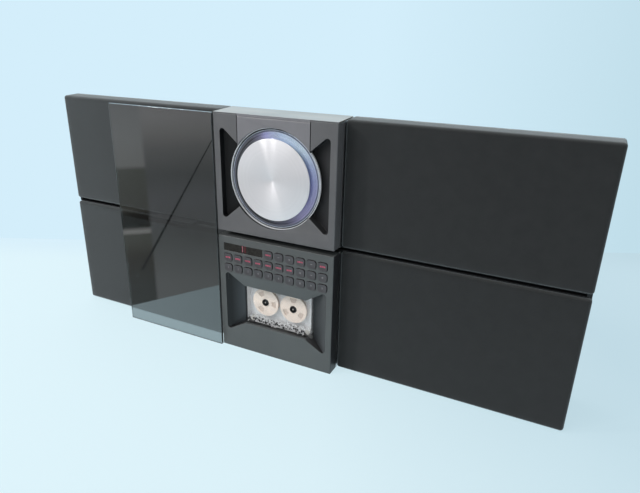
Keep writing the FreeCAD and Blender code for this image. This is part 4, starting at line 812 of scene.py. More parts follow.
def makeCoverBand():
    # the flap's grey, lighter as painted light, and its two seams, dark strips of painted shade, run on over
    # the cover's front edge
    low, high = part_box("top_cover")
    half, seam = centre["flapHalf"], centre["flapSeam"]
    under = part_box("clamp_flap")[1].z + seam
    top = high.z - centre["bandTop"]
    form = bmesh.new()
    near, far = (low.y + depth for depth in centre["bandDepth"])
    addBlock(form, (-half, near, under - centre["bandDrop"]), (half, far, top))
    addForm(form, "cover_band", "console", ["flapLitGrey"], ())
    form = bmesh.new()
    near, far = (low.y + depth for depth in centre["bandSeamDepth"])
    for left in (-half - seam, half):
        addBlock(form, (left, near, under), (left + seam, far, top))
    addForm(form, "cover_seams", "console", ["railBlack"], ())


def makeCentre():
    softCopy("disc_panel", "console", ["panelGrey", "recessGrey", "recessShade"], centre["edge"],
             discPanelFace)
    softCopy("deck_panel", "console", ["deckGrey", "recessGrey", "ledgeDepthShade", "panelGrey"], centre["edge"],
             deckPanelFace)
    flap = softCopy("clamp_flap", "flap", ["flapLitGrey", "armClear", "recessShade"], centre["flapEdge"],
                    flapFace)
    for vertex in flap.data.vertices:
        if abs(abs(vertex.co.x) - centre["seamPlace"]) < centre["pointNear"]:
            vertex.co.x -= math.copysign(centre["seamOpened"], vertex.co.x)
    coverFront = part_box("top_cover")[0].y
    softCopy("top_cover", "console", ["coverSilver", "panelGrey"], centre["coverEdge"],
             lambda spot: 1 if spot.y < coverFront + centre["faceNear"] else 0)
    softCopy("rear_cabinet", "console", ["cabinetPlastic"], centre["cabinetEdge"])
    makeBaySlopes()
    makeCoverBand()


# painted shade on the bay's sloping sides: the right one darkens deeper in, the left one is dark at the front
# and lighter deeper in
depthShadeFinish("slopeDepthShade", ink(75, 77, 79), ink(40, 43, 46), 0.5, 12.0)
depthShadeFinish("slopeLeftShade", ink(20, 21, 23), ink(70, 75, 79), 4.0, 13.0)
# painted shade: the ledge before the cassette turns near black deeper in, under the cassette
depthShadeFinish("ledgeDepthShade", ink(84, 88, 89), ink(10, 11, 12), 2.6, 5.6)
seeThroughFinish("armClear", ink(200, 206, 214), 0.1, 0.06, 0.02)
makeCentre()
print("stage: centre panels and cabinet softened")


# Cloth over the speaker frames

cloth = {
    **inMetres({"corner": 3.6, "thickness": 0.7, "cell": 6.0, "sag": 0.35, "bar": 13.6, "ripple": 0.06,
                "rise": 1.4, "grooveGap": 0.2, "weavePitch": 0.75}),
    "cornerSteps": 5,
    "wallParts": (0.25, 0.5, 0.75, 1.0),
    "barShare": 1.5,                    # the outer bar and half of the middle one
    "flatness": (4, 6),                 # how square the dip between the bars is, across and up
    "rippleScale": (30, 5),
}
railStops = inMetres({"end": 0.8, "gap": 0.1, "inset": 0.4, "edge": 0.3})


def makeClothFinish():
    tree, shader = newMaterial("speakerCloth", {"Sheen Weight": 0.87, "Sheen Roughness": 0.50,
                                                "Sheen Tint": ink(204, 214, 218), "Specular IOR Level": 0.2})
    threads = useGroup(tree, weave, Vector=give(tree, "UVMap"), Pitch=cloth["weavePitch"])
    dark = mix(tree, threads["Height"], ink(20, 20, 20), ink(36, 36, 36))
    base = mix(tree, span(tree, threads["Slub"], 0.0, 1.0, 0.0, 0.3), dark, ink(50, 50, 51))
    # painted sheen with dust: the cloth's upward faces lighten towards a pale grey
    dustAndSheenMask = useGroup(tree, dustAndSheen, Vector=localPlace(tree), Amount=0.22)["Mask"]
    paint(tree, shader, mix(tree, dustAndSheenMask, base, ink(150, 152, 150)),
          span(tree, threads["Height"], 0.0, 1.0, 0.95, 0.78))
    addRelief(tree, shader, threads["Height"], 0.05 * mm)


def drawnIn(across, up, halfWide, halfTall, place):
    # the cloth lies on the frame's bars and draws in a little between them
    window = (halfWide - cloth["bar"] * cloth["barShare"]) / 2
    inside = 1 - min(1.0, abs(abs(across) - halfWide / 2) / window) ** cloth["flatness"][0]
    inside *= 1 - min(1.0, abs(up) / (halfTall - cloth["bar"])) ** cloth["flatness"][1]
    fine, long = cloth["rippleScale"]
    pull = noise.noise(Vector((across * fine, up * long, place)))
    return cloth["sag"] * inside + cloth["ripple"] * pull * inside


def clothOutline(wide, tall, columns, rows, quarter):
    # points round the flat front, each with its way outwards, which turns at the corners
    sides = (((-wide, -tall), (wide, -tall), (0, -1), columns), ((wide, -tall), (wide, tall), (1, 0), rows),
             ((wide, tall), (-wide, tall), (0, 1), columns), ((-wide, tall), (-wide, -tall), (-1, 0), rows))
    outline = []
    for index, (start, end, out, count) in enumerate(sides):
        for step in range(count + 1):
            outline.append(([near + (far - near) * (step / count) for near, far in zip(start, end)], out))
        after = sides[(index + 1) % 4][2]
        for turn in quarter[1:-1]:
            way = [here * math.cos(turn) + there * math.sin(turn) for here, there in zip(out, after)]
            outline.append((end, way))
    return outline


def clothPanel(name, low, high, slope, node):
    # low and high are the corners of one half: x, front and back y, z
    corner, steps = cloth["corner"], cloth["cornerSteps"]
    middle = (low + high) / 2
    halfWide, halfTall = (high.x - low.x) / 2, (high.z - low.z) / 2
    wide, tall = halfWide - corner, halfTall - corner
    columns, rows = (round(2 * half / cloth["cell"]) for half in (wide, tall))
    form = bmesh.new()
    layer = form.loops.layers.uv.verify()
    flatPlace = {}

    def addPoint(across, up, depth, flat):
        height = middle.z + up
        if slope:
            height += slope * (depth - low.y) / (high.y - low.y) * (up + halfTall) / (2 * halfTall)
        point = form.verts.new((middle.x + across, depth, height))
        flatPlace[point] = flat
        return point

    # rings go round the panel, over its rounded edge to the back: radius, depth, how much cloth is used
    straight = high.y - low.y - corner
    quarter = [math.pi / 2 * step / steps for step in range(steps + 1)]
    profile = [(corner * math.sin(turn), low.y + corner - corner * math.cos(turn), corner * turn)
               for turn in quarter]
    profile += [(corner, low.y + corner + straight * part, corner * math.pi / 2 + straight * part)
                for part in cloth["wallParts"]]
    outline = clothOutline(wide, tall, columns, rows, quarter)
    rings = [[addPoint(base[0] + out[0] * radius, base[1] + out[1] * radius, depth,
                       (base[0] + out[0] * gone, base[1] + out[1] * gone)) for base, out in outline]
             for radius, depth, gone in profile]
    for inner, outer in zip(rings, rings[1:]):
        for index in range(len(inner)):
            after = (index + 1) % len(inner)
            form.faces.new((inner[index], inner[after], outer[after], outer[index]))
    # the flat front
    grid = []
    for row in range(rows + 1):
        up = -tall + 2 * tall * row / rows
        spots = [-wide + 2 * wide * column / columns for column in range(columns + 1)]
        depths = [low.y + drawnIn(across, up, halfWide, halfTall, middle.z) for across in spots]
        grid.append([addPoint(across, up, depth, (across, up)) for across, depth in zip(spots, depths)])
    for below, above in zip(grid, grid[1:]):
        for column in range(columns):
            form.faces.new((below[column], below[column + 1], above[column + 1], above[column]))
    for face in form.faces:
        for loop in face.loops:
            loop[layer].uv = flatPlace[loop.vert]
    weld(form, looseWeld)
    bmesh.ops.recalc_face_normals(form, faces=form.faces[:])
    if sum(face.normal.y for face in form.faces) > 0:
        bmesh.ops.reverse_faces(form, faces=form.faces[:])
    piece = addPiece(name, meshFrom(form, name, 60), "console", ["speakerCloth"], [node])
    thicken(piece, cloth["thickness"], -1)


def makeCloth():
    makeClothFinish()
    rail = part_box("door_rail")
    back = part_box("speaker_baffles")[1].y
    gap, rise = cloth["grooveGap"], cloth["rise"]
    for side in ("left", "right"):
        node = side + "_grille_cloth"
        low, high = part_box(node)
        clothPanel("lower_%s_cloth" % side, low, Vector((high.x, back, rail[0].z - gap)), 0.0, node)
        clothPanel("upper_%s_cloth" % side, Vector((low.x, low.y, rail[1].z + gap)),
                   Vector((high.x, back, high.z - rise)), rise, node)


def makeRailStops():
    # black end stops close the groove past the rail's ends
    low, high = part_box("door_rail")
    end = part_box("right_grille_cloth")[1].x - railStops["end"]
    form = bmesh.new()
    for start, stop in ((-end, low.x - railStops["gap"]), (high.x + railStops["gap"], end)):
        addBlock(form, (start, low.y + railStops["inset"], low.z), (stop, high.y, high.z))
    stops = addForm(form, "rail_end_stops", "console", ["railBlack"], ())
    softenEdges(stops, railStops["edge"])


makeCloth()
makeRailStops()
print("stage: speaker cloth stretched")


# Clamp and disc, as profiles of radius and depth in millimetres

clamp = {
    "profile": [(0.0, -47.15), (1.2, -47.15), (1.9, -47.5), (49.2, -47.5), (49.75, -47.3), (50.0, -46.9),
                (50.0, -46.5), (48.4, -45.0), (5.0, -45.0), (5.0, -43.1), (13.0, -43.1), (13.0, -41.6),
                (4.6, -41.6), (4.2, -39.4), (0.0, -39.4)],
    "steps": 160,
    "ringPitch": 0.32 * mm,
    "bright": ink(240, 238, 241),
    "dull": ink(236, 234, 237),
}
disc = {
    "steps": 160,
    "hole": 7.5,
    "clearHub": 18.0,
    "dataEnd": 57.6,
    "rimStart": 59.2,
    "edge": 60.0,
    "front": -41.5,
    "back": -40.3,
    "bevel": 0.25,
    "ringPitch": 0.25 * mm,
    "rimHighlight": [(61.5, -43.1), (61.65, -43.3), (62.2, -43.3), (62.2, -40.6), (61.5, -40.6), (61.5, -43.1)],
    # painted reflection and shade: its colour drifts round the disc by angle, in painted tints of light split
    # on its track, with painted shade on its left from the upper left round to the bottom
    "shades": [(0.0, ink(182, 186, 234)), (0.06, ink(190, 205, 244)), (0.13, ink(219, 239, 255)),
               (0.22, ink(206, 228, 255)), (0.285, ink(176, 178, 232)), (0.315, ink(112, 112, 142)),
               (0.35, ink(62, 64, 72)), (0.60, ink(44, 46, 52)), (0.72, ink(42, 43, 48)),
               (0.80, ink(92, 90, 112)), (0.87, ink(176, 168, 214)), (1.0, ink(182, 186, 234))],
    "pale": ink(214, 216, 226),
}


def turnedMirror(name, node, pitch, rough, metallic, sheer):
    # polished rings about the node's middle, stretched highlights along its own map
    tree, shader = newMaterial(name, {"Metallic": metallic, "Anisotropic": sheer,
                                      "Anisotropic Rotation": 0.25})
    rings = useGroup(tree, turnedLines, Vector=localPlace(tree, middleOf(node)), Pitch=pitch)
    fill(tree, shader.inputs["Roughness"], span(tree, rings["Height"], 0.3, 0.7, *rough))
    fill(tree, shader.inputs["Tangent"], give(tree, "Tangent", direction_type="UV_MAP"))
    return tree, shader, rings


def makeClamp():
    tree, shader, rings = turnedMirror("clampSilver", "clamp_disc", clamp["ringPitch"], (0.29, 0.32),
                                       0.42, 0.95)
    fill(tree, shader.inputs["Base Color"], mix(tree, rings["Tone"], clamp["dull"], clamp["bright"]))
    addRelief(tree, shader, rings["Height"], 0.0015 * mm)
    form = bmesh.new()
    addTurned(form, clamp["profile"], middleOf("clamp_disc"), clamp["steps"])
    addForm(form, "clamp_disc_turned", "clamp", ["clampSilver"], ["clamp_disc"])


def makeDisc():
    tree, shader, rings = turnedMirror("discMirror", "compact_disc", disc["ringPitch"], (0.2, 0.3), 0.6, 0.6)
    # painted reflection and shade, laid round the disc by angle
    ramp = addRamp(tree, axesOf(tree, give(tree, "UVMap"))["X"], disc["shades"])
    faded = span(tree, rings["Tone"], 0.3, 0.7, 0.0, 0.25)
    fill(tree, shader.inputs["Base Color"], mix(tree, faded, ramp, disc["pale"]))
    hole, edge, front, back, bevel = (disc[name] for name in ("hole", "edge", "front", "back", "bevel"))
    profile = [(hole, back - bevel), (hole, front + bevel), (hole + bevel, front), (disc["clearHub"], front),
               (disc["dataEnd"], front), (disc["rimStart"], front), (edge - bevel, front),
               (edge, front + bevel), (edge, back - bevel), (edge - bevel, back), (hole + bevel, back),
               (hole, back - bevel)]
    form = bmesh.new()
    addTurned(form, profile, middleOf("compact_disc"), disc["steps"], [1, 1, 1, 0, 1, 2, 2, 2, 2, 0, 1])
    weld(form)
    addForm(form, "disc_pressed", "platter", ["discMirror", "discClear", "discRimHighlight"], ["compact_disc"])
    # a painted highlight: a white ring just outside the disc stands for the bright line along the disc's rim
    form = bmesh.new()
    addTurned(form, disc["rimHighlight"], middleOf("compact_disc"), disc["steps"])
    weld(form)
    addForm(form, "rim_highlight_ring", "console", ["ringHighlight"], ())


clearFinish("discClear", ink(120, 126, 146), 0.12, 0.5)
# painted highlight: the disc's clear rim is given a pale colour and little transmission, so it shows as a
# bright line
clearFinish("discRimHighlight", ink(226, 234, 246), 0.12, 0.25)
# painted highlight: the white ring just outside the disc
clearFinish("ringHighlight", ink(250, 252, 255), 0.1, 0.1)
makeClamp()
makeDisc()
print("stage: clamp and disc turned")


# Glass door

glass = {
    "colour": ink(141, 146, 147),
    "passing": ink(255, 255, 255),
    **inMetres({"band": (165.6, 172.6), "bandInset": 2.0, "bandDepth": (0.02, 0.10), "polish": 0.5}),
}


def makeGlassFinish():
    tree, shader = newMaterial("smokedGlass", {"Transmission Weight": 1.0, "IOR": 1.5, "Metallic": 0.0,
                                               "Coat Weight": 1.0, "Coat IOR": 1.7, "Coat Roughness": 0.01})
    wiped = noiseOn(tree, localPlace(tree), 9.0, 6.0, 0.7)
    paint(tree, shader, mix(tree, wiped, glass["colour"], lighter(glass["colour"], 1.04)),
          span(tree, wiped, 0.45, 0.8, 0.0, 0.05))
    # light on its way to the cloth behind passes straight through
    path = rays(tree)
    passing = calc(tree, "ADD", path["Is Shadow Ray"], path["Is Diffuse Ray"], use_clamp=True)
    clear = give(tree, "BsdfTransparent", {"Color": glass["passing"]})
    seen = mixShaders(tree, passing, shader.outputs[0], clear)
    fill(tree, tree.nodes["Material Output"].inputs["Surface"], seen)


def makeGlass():
    makeGlassFinish()
    low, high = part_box("glass_door")
    form = bmesh.new()
    addBlock(form, low, high)
    sheet = addForm(form, "glass_sheet", "door", ["smokedGlass"], ["glass_door"])
    softenEdges(sheet, glass["polish"])
    # the black band printed across its back, which hides the carriage
    inset, (bandLow, bandHigh), (near, far) = glass["bandInset"], glass["band"], glass["bandDepth"]
    form = bmesh.new()
    addBlock(form, (low.x + inset, high.y + near, bandLow), (high.x - inset, high.y + far, bandHigh))
    addForm(form, "glass_printed_band", "door", ["bandBlack"], ())


solidFinish("bandBlack", ink(7, 7, 8), 0.7, relief=0.0, wear=0.0, dusty=0.0)
makeGlass()
print("stage: glass door made")


# Keys and their marks

keys = {
    **inMetres({"edge": 0.35, "faceDepth": 0.7, "markThickness": 0.05, "digitHeight": 3.0,
                "markFrom": -100.0}),
    "capShare": 0.73,                   # the height of a digit in its font's size
    "cell": 0.6,
    "columns": {"top": range(5, 11), "middle": range(1, 11), "bottom": range(1, 11)},
    "red": {"top": (5, 8, 10), "middle": (1, 2, 3, 4, 5, 6, 7), "bottom": ()},
}
# each mark is a row of small bars: start, end, low, high in millimetres from the key's middle
wideMarks = [[(start, end, -1.0, 1.0) for start, end in word] for word in (
    ((-3.9, -2.6), (-2.1, -0.2), (0.3, 1.6), (2.1, 3.9)),
    ((-3.6, -1.4), (-0.9, 0.5), (1.0, 3.6)),
    ((-3.8, -2.9), (-2.4, 0.4), (0.9, 2.0), (2.5, 3.8)))]
smallMarks = [
    [(-1.3, 1.3, -0.35, 0.35)],
    [(-1.3, 1.3, -0.35, 0.35), (-0.35, 0.35, 0.35, 1.3), (-0.35, 0.35, -1.3, -0.35)],
    [(-1.2, -0.4, -1.2, 1.2), (0.4, 1.2, -1.2, 1.2)],
]


def markFinish(name, colour):
    tree, shader = newMaterial(name, {"Roughness": 0.5})
    share = span(tree, noiseOn(tree, localPlace(tree), 1300.0), 0.35, 0.7)
    fill(tree, shader.inputs["Base Color"], mix(tree, share, colour, lighter(colour, 0.7)))


def barsForm(bars, middle):
    form = bmesh.new()
    for left, right, low, high in bars:
        count = max(1, round((right - left) / keys["cell"]))
        columns = [left + (right - left) * step / count for step in range(count + 1)]
        lines = [[form.verts.new((middle.x + x * mm, 0, middle.z + z * mm)) for z in (low, high)]
                 for x in columns]
        for before, after in zip(lines, lines[1:]):
            form.faces.new((before[0], after[0], after[1], before[1]))
    return form


def digitForm(text, middle):
    words = bpy.data.curves.new("digit" + text, "FONT")
    words.body = text
    words.size = keys["digitHeight"] / keys["capShare"]
    words.align_x = "CENTER"
    words.align_y = "CENTER"
    holder = addObject("digit" + text, words)
    mesh = bpy.data.meshes.new_from_object(holder.evaluated_get(bpy.context.evaluated_depsgraph_get()))
    bpy.data.objects.remove(holder)
    form = bmesh.new()
    form.from_mesh(mesh)
    weld(form, looseWeld)
    for vertex in form.verts:
        vertex.co = Vector((middle.x + vertex.co.x, 0, middle.z + vertex.co.y))
    return form


def layOnKey(form, node):
    # prints a flat mark on the key's hollowed face, as a thin closed plate
    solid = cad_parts[node].data
    surface = BVHTree.FromPolygons([vertex.co for vertex in solid.vertices],
                                   [tuple(face.vertices) for face in solid.polygons])
    for vertex in form.verts:
        hit = surface.ray_cast(Vector((vertex.co.x, keys["markFrom"], vertex.co.z)), Vector((0, 1, 0)))[0]
        vertex.co.y = hit.y - keys["markThickness"] * 0.5
    for face in form.faces:
        face.normal_update()
        if face.normal.y > 0:
            face.normal_flip()


def markFor(row, column):
    if column in keys["red"][row]:
        return "markRed", wideMarks[(column + len(row)) % len(wideMarks)]
    if row == "bottom":
        return "markGrey", str(column % 10)
    return "markGrey", smallMarks[column % len(smallMarks)]


def makeKeys():
    for row, columns in keys["columns"].items():
        for column in columns:
            node = "key_%s_%02d" % (row, column)
            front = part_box(node)[0].y
            # painted shade: each key's sides, behind its face, take the dark plum finish
            softCopy(node, node, ["keyGrey", "keySideShade"], keys["edge"],
                     lambda spot: 0 if spot.y < front + keys["faceDepth"] else 1)
            look, mark = markFor(row, column)
            form = (digitForm if isinstance(mark, str) else barsForm)(mark, middleOf(node))
            layOnKey(form, node)
            name = node + "_mark"
            thicken(addPiece(name, meshFrom(form, name, 10), node, [look]), keys["markThickness"], 0)


solidFinish("keyGrey", ink(74, 72, 75), 0.38, grain=2600.0, relief=0.008, dusty=0.05)
# painted shade: the dark sides stand for the shade on each key's right and lower side
solidFinish("keySideShade", ink(38, 30, 36), 0.42, grain=2600.0, relief=0.008, wear=0.1, dusty=0.0)
markFinish("markRed", ink(206, 88, 114))
markFinish("markGrey", ink(150, 148, 150))
makeKeys()
print("stage: keys and marks made")


# Display behind its dark window

display = {
    **inMetres({"edge": 0.25, "behind": 0.25, "board": 0.6, "inset": 0.6, "stroke": 0.75, "figureHeight": 8.6,
                "figureDepth": (-0.08, 0.02)}),
    # a figure's left edge and width in millimetres: one that has no width is a single stroke
    "figures": [("litBright", -48.5, 0.0), ("litDim", -45.6, 2.8)],
}


def litFinish(name, colour, strength):
    tree, shader = newMaterial(name, {"Base Color": (0.02, 0.0, 0.0, 1.0), "Roughness": 0.4,
                                      "Emission Strength": strength})
    fill(tree, shader.inputs["Emission Color"], mix(tree, noiseOn(tree, localPlace(tree), 900.0),
                                                    lighter(colour, 0.7), colour))


def makeDisplay():
    low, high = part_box("display_window")
    softCopy("display_window", "console", ["displayDark"], display["edge"])
    front = high.y + display["behind"]
    inset = display["inset"]
    form = bmesh.new()
    addBlock(form, (low.x + inset, front, low.z + inset),
             (high.x - inset, front + display["board"], high.z - inset))
    middle, half, stroke = (low.z + high.z) / 2, display["figureHeight"] / 2, display["stroke"]
    near, far = (front + depth for depth in display["figureDepth"])
    foot, head = middle - half, middle + half
    looks = ["displayTube"]
    for look, left, wide in display["figures"]:
        left, right = left * mm, (left + wide) * mm
        bars = [(left, left + stroke, foot, head)]
        if wide:
            bars += [(right - stroke, right, foot, head), (left, right, head - stroke, head),
                     (left, right, foot, foot + stroke)]
        for start, stop, under, over in bars:
            addBlock(form, (start, near, under), (stop, far, over), len(looks))
        looks.append(look)
    addForm(form, "display_tube", "console", looks)


seeThroughFinish("displayDark", ink(47, 45, 42), 0.16, 0.72)
solidFinish("displayTube", ink(48, 42, 38), 0.3, grain=700.0, relief=0.004, wear=0.0)
litFinish("litBright", ink(255, 150, 172), 9.0)
litFinish("litDim", ink(196, 22, 72), 3.0)
makeDisplay()
print("stage: display made")


# Geometry Nodes: a tree is built here, run on a carrier mesh and turned into a plain mesh

socketKinds = {float: "Float", int: "Int", tuple: "Vector"}


def shape(tree, kind, inputs=None, **settings):
    return give(tree, kind, inputs, family="GeometryNode", **settings)


def newTree(name, sizes):
    tree = bpy.data.node_groups.new(name, "GeometryNodeTree")
    tree.interface.new_socket("Geometry", in_out="INPUT", socket_type="NodeSocketGeometry")
    for label, value in sizes.items():
        kind = "NodeSocket" + socketKinds[type(value)]
        tree.interface.new_socket(label, in_out="INPUT", socket_type=kind).default_value = value
    tree.interface.new_socket("Finish", in_out="INPUT", socket_type="NodeSocketMaterial")
    tree.interface.new_socket("Geometry", in_out="OUTPUT", socket_type="NodeSocketGeometry")
    return tree, tree.nodes.new("NodeGroupInput").outputs, tree.nodes.new("NodeGroupOutput").inputs[0]


def closeTree(tree, given, result, instance, points=None, **more):
    # sets the instance on its points, makes it real and gives it its finish
    points = points or given["Geometry"]
    placed = shape(tree, "InstanceOnPoints", {"Points": points, "Instance": instance, **more})
    solid = shape(tree, "RealizeInstances", {"Geometry": placed})
    fill(tree, result, shape(tree, "SetMaterial", {"Geometry": solid, "Material": given["Finish"]}))
    return tree


def addRun(name, tree, spots, body, finish, sizes, replaced=()):
    carrierMesh = bpy.data.meshes.new(name + "_spots")
    carrierMesh.from_pydata([tuple(spot) for spot in spots], [], [])
    carrier = addObject(name + "_carrier", carrierMesh)
    modifier = carrier.modifiers.new("build", "NODES")
    modifier.node_group = tree
    values = {**sizes, "Finish": finishes[finish]}
    for item in tree.interface.items_tree:
        if item.in_out == "INPUT" and item.name in values:
            modifier[item.identifier] = values[item.name]
    mesh = bpy.data.meshes.new_from_object(carrier.evaluated_get(bpy.context.evaluated_depsgraph_get()))
    carrier.modifiers.clear()
    bpy.data.objects.remove(carrier)
    mesh.name = name
    addPiece(name, shadeSmooth(mesh), body, (), replaced)


def screwTree(sizes):
    # pan head screws with a cross cut in the head, their axis along Y
    tree, given, result = newTree("panScrews", sizes)
    radius, tall = given["Head Radius"], given["Head Height"]
    head = shape(tree, "MeshCylinder", {"Vertices": 32, "Radius": radius, "Depth": tall})
    dome = shape(tree, "MeshUVSphere", {"Segments": 32, "Rings": 16, "Radius": times(tree, radius, 1.06)})
    squat = shape(tree, "Transform", {"Geometry": dome, "Scale": (1.0, 1.0, 0.5)})
    cut = shape(tree, "MeshBoolean", {"Mesh 2": [head, squat]}, operation="INTERSECT")
    arm, deep = times(tree, radius, 1.15), times(tree, tall, 0.7)
    lift = joinAxes(tree, Z=times(tree, tall, 0.45))
    for wide, long in ((arm, given["Cross Width"]), (given["Cross Width"], arm)):
        bar = shape(tree, "MeshCube", {"Size": joinAxes(tree, X=wide, Y=long, Z=deep)})
        raised = shape(tree, "Transform", {"Geometry": bar, "Translation": lift})
        cut = shape(tree, "MeshBoolean", {"Mesh 1": cut, "Mesh 2": raised}, operation="DIFFERENCE")
    shank = shape(tree, "MeshCylinder", {"Vertices": 20, "Radius": given["Shank Radius"],
                                         "Depth": given["Shank Length"]})
    down = times(tree, calc(tree, "ADD", tall, given["Shank Length"]), -0.5)
    sunk = shape(tree, "Transform", {"Geometry": shank, "Translation": joinAxes(tree, Z=down)})
    joined = shape(tree, "JoinGeometry", {"Geometry": [cut, sunk]})
    return closeTree(tree, given, result, joined, Rotation=(-math.pi / 2, 0.0, 0.0))


def pinTree(sizes):
    # short round contact pins along Y
    tree, given, result = newTree("contactPins", sizes)
    pin = shape(tree, "MeshCylinder", {"Vertices": 16, "Radius": given["Radius"], "Depth": given["Length"]})
    return closeTree(tree, given, result, pin, Rotation=(math.pi / 2, 0.0, 0.0))


def teethTree(sizes):
    # teeth round a hub's bore, pointing at its axis
    tree, given, result = newTree("hubTeeth", sizes)
    circle = shape(tree, "MeshCircle", {"Vertices": given["Count"], "Radius": given["Radius"]})
    upright = shape(tree, "Transform", {"Geometry": circle, "Rotation": (math.pi / 2, 0.0, 0.0)})
    facing = give(tree, "AlignEulerToVector", {"Vector": shape(tree, "InputPosition")}, family="FunctionNode",
                  axis="X", pivot_axis="Y")
    tooth = shape(tree, "MeshCube", {"Size": given["Tooth"]})
    ring = shape(tree, "InstanceOnPoints", {"Points": upright, "Instance": tooth, "Rotation": facing})
    return closeTree(tree, given, result, ring)


def ribTree(sizes):
    # uneven ribs, pins and folds inside the cassette's lower edge, and dark blocks of painted shade for its
    # openings
    tree, given, result = newTree("innerRibs", sizes)
    spread, lean = given["Scatter"], given["Lean"]

    def drawn(kind, output, places, low, high, shift):
        seed = calc(tree, "ADD", given["Seed"], shift) if shift else given["Seed"]
        return put(tree, "RandomValue", {places[0]: low, places[1]: high, "Seed": seed}, "FunctionNode",
                   data_type=kind).outputs[output]

    step = calc(tree, "DIVIDE", given["Reach"], calc(tree, "SUBTRACT", given["Count"], 1.0))
    line = shape(tree, "MeshLine", {"Count": given["Count"], "Start Location": given["Start"],
                                    "Offset": joinAxes(tree, X=step)})
    low = joinAxes(tree, X=times(tree, spread, -0.5), Z=times(tree, spread, -1.0))
    high = joinAxes(tree, X=times(tree, spread, 0.5), Z=spread)
    moved = shape(tree, "SetPosition", {"Geometry": line,
                                        "Offset": drawn("FLOAT_VECTOR", 0, (0, 1), low, high, 0.0)})
    turn = drawn("FLOAT", 1, (2, 3), times(tree, lean, -1.0), lean, 7.0)
    size = drawn("FLOAT_VECTOR", 0, (0, 1), given["Smallest"], given["Largest"], 13.0)
    cube = shape(tree, "MeshCube", {"Size": (1.0, 1.0, 1.0)})
    return closeTree(tree, given, result, cube, moved, Scale=size, Rotation=joinAxes(tree, Y=turn))


# Cassette with its reels

cassette = {
    **inMetres({"edge": 0.25, "side": 1.3, "sheetLow": 6.0, "sheetFront": -26.75, "sheetThickness": 0.15,
                "foldFront": -34.5, "fold": 0.2, "foldGap": 0.02, "holeRadius": 6.1, "rollerAcross": 42.5,
                "rollerUp": 5.6, "shieldHalf": 38.0, "shieldGap": 0.1, "shieldThickness": 0.12,
                "shieldHeights": (1.3, 6.6), "ribStart": (4.0, -31.2, 7.6), "gapStart": (11.0, -0.72, 5.4),
                "pinDepth": -37.6, "pinUp": 0.65}),
    "holeSteps": 40,
    "rollerSteps": 28,
    "roller": [(0.0, -32.9), (0.8, -32.9), (0.8, -32.3), (3.3, -32.3), (3.3, -31.8), (2.64, -31.5),
               (2.64, -28.2), (3.3, -27.9), (3.3, -27.4), (0.0, -27.4)],
    "ribs": {**inMetres({"Reach": 92.0, "Smallest": (0.6, 0.8, 1.2), "Largest": (3.0, 1.8, 6.0),
                         "Scatter": 3.0}), "Count": 64, "Lean": 0.9, "Seed": 11},
    "gaps": {**inMetres({"Reach": 77.0, "Smallest": (0.5, 0.4, 0.6), "Largest": (2.8, 0.9, 3.6),
                         "Scatter": 1.9}), "Count": 26, "Lean": 0.6, "Seed": 29},
    "pin": inMetres({"Radius": 0.55, "Length": 2.4}),
    "ledgeGlintPins": (-46.0, -8.6, -4.4, -2.2, 31.0, 39.0),
}
reel = {
    "flange": (-32.4, -31.8),
    "pack": [(4.8, -31.5), (18.4, -31.5), (18.4, -27.1), (4.8, -27.1), (4.8, -31.5)],
    "rings": (5.0, 9.6, 12.8, 16.2, 19.7),
    "windowRings": (1, 2),
    "windowHalf": 19,                   # in degrees, as the two turns
    "turn": {"left": 118, "right": 90},
    "flangeSteps": 90,
    "steps": 72,
    "bodies": {"left": "supply_reel", "right": "take_up_reel"},
    "cap": [(0.0, -33.2), (0.6, -33.2), (1.0, -33.0)],
    "spindle": [(1.0, -33.0), (1.9, -32.2), (2.5, -31.6), (2.5, -18.95), (12.0, -18.95),
                (12.0, -16.45), (2.5, -16.45), (2.5, -13.95), (0.0, -13.95)],
    "hub": [(4.2, -33.6), (4.7, -33.6), (4.7, -25.7), (4.2, -25.7), (4.2, -33.6)],
    "teeth": {**inMetres({"Radius": 3.7, "Tooth": (1.2, 6.0, 0.9)}), "Count": 6},
    "teethDepth": -29.9 * mm,
}


def addSectorPlate(form, middle, rings, steps, skipped, depths):
    # a flat ring of cells with windows left out, closed all round
    corners = {}

    def corner(ring, step, depth):
        key = (ring, step % steps, depth)
        if key not in corners:
            corners[key] = form.verts.new(around(middle, rings[ring] * mm, turnTo(key[1], steps), depth * mm))
        return corners[key]

    def kept(ring, step):
        return 0 <= ring < len(rings) - 1 and not skipped(ring, step % steps)

    front, back = depths
    for ring in range(len(rings) - 1):
        for step in range(steps):
            if not kept(ring, step):
                continue
            loop = ((ring, step), (ring + 1, step), (ring + 1, step + 1), (ring, step + 1))
            faces = [[corner(*spot, front) for spot in loop],
                     [corner(*spot, back) for spot in reversed(loop)]]
            beside = ((ring, step - 1), (ring + 1, step), (ring, step + 1), (ring - 1, step))
            for index, other in enumerate(beside):
                if not kept(*other):
                    start, stop = loop[index], loop[(index + 1) % 4]
                    faces.append([corner(*stop, front), corner(*start, front), corner(*start, back),
                                  corner(*stop, back)])
            for points in faces:
                form.faces.new(points)


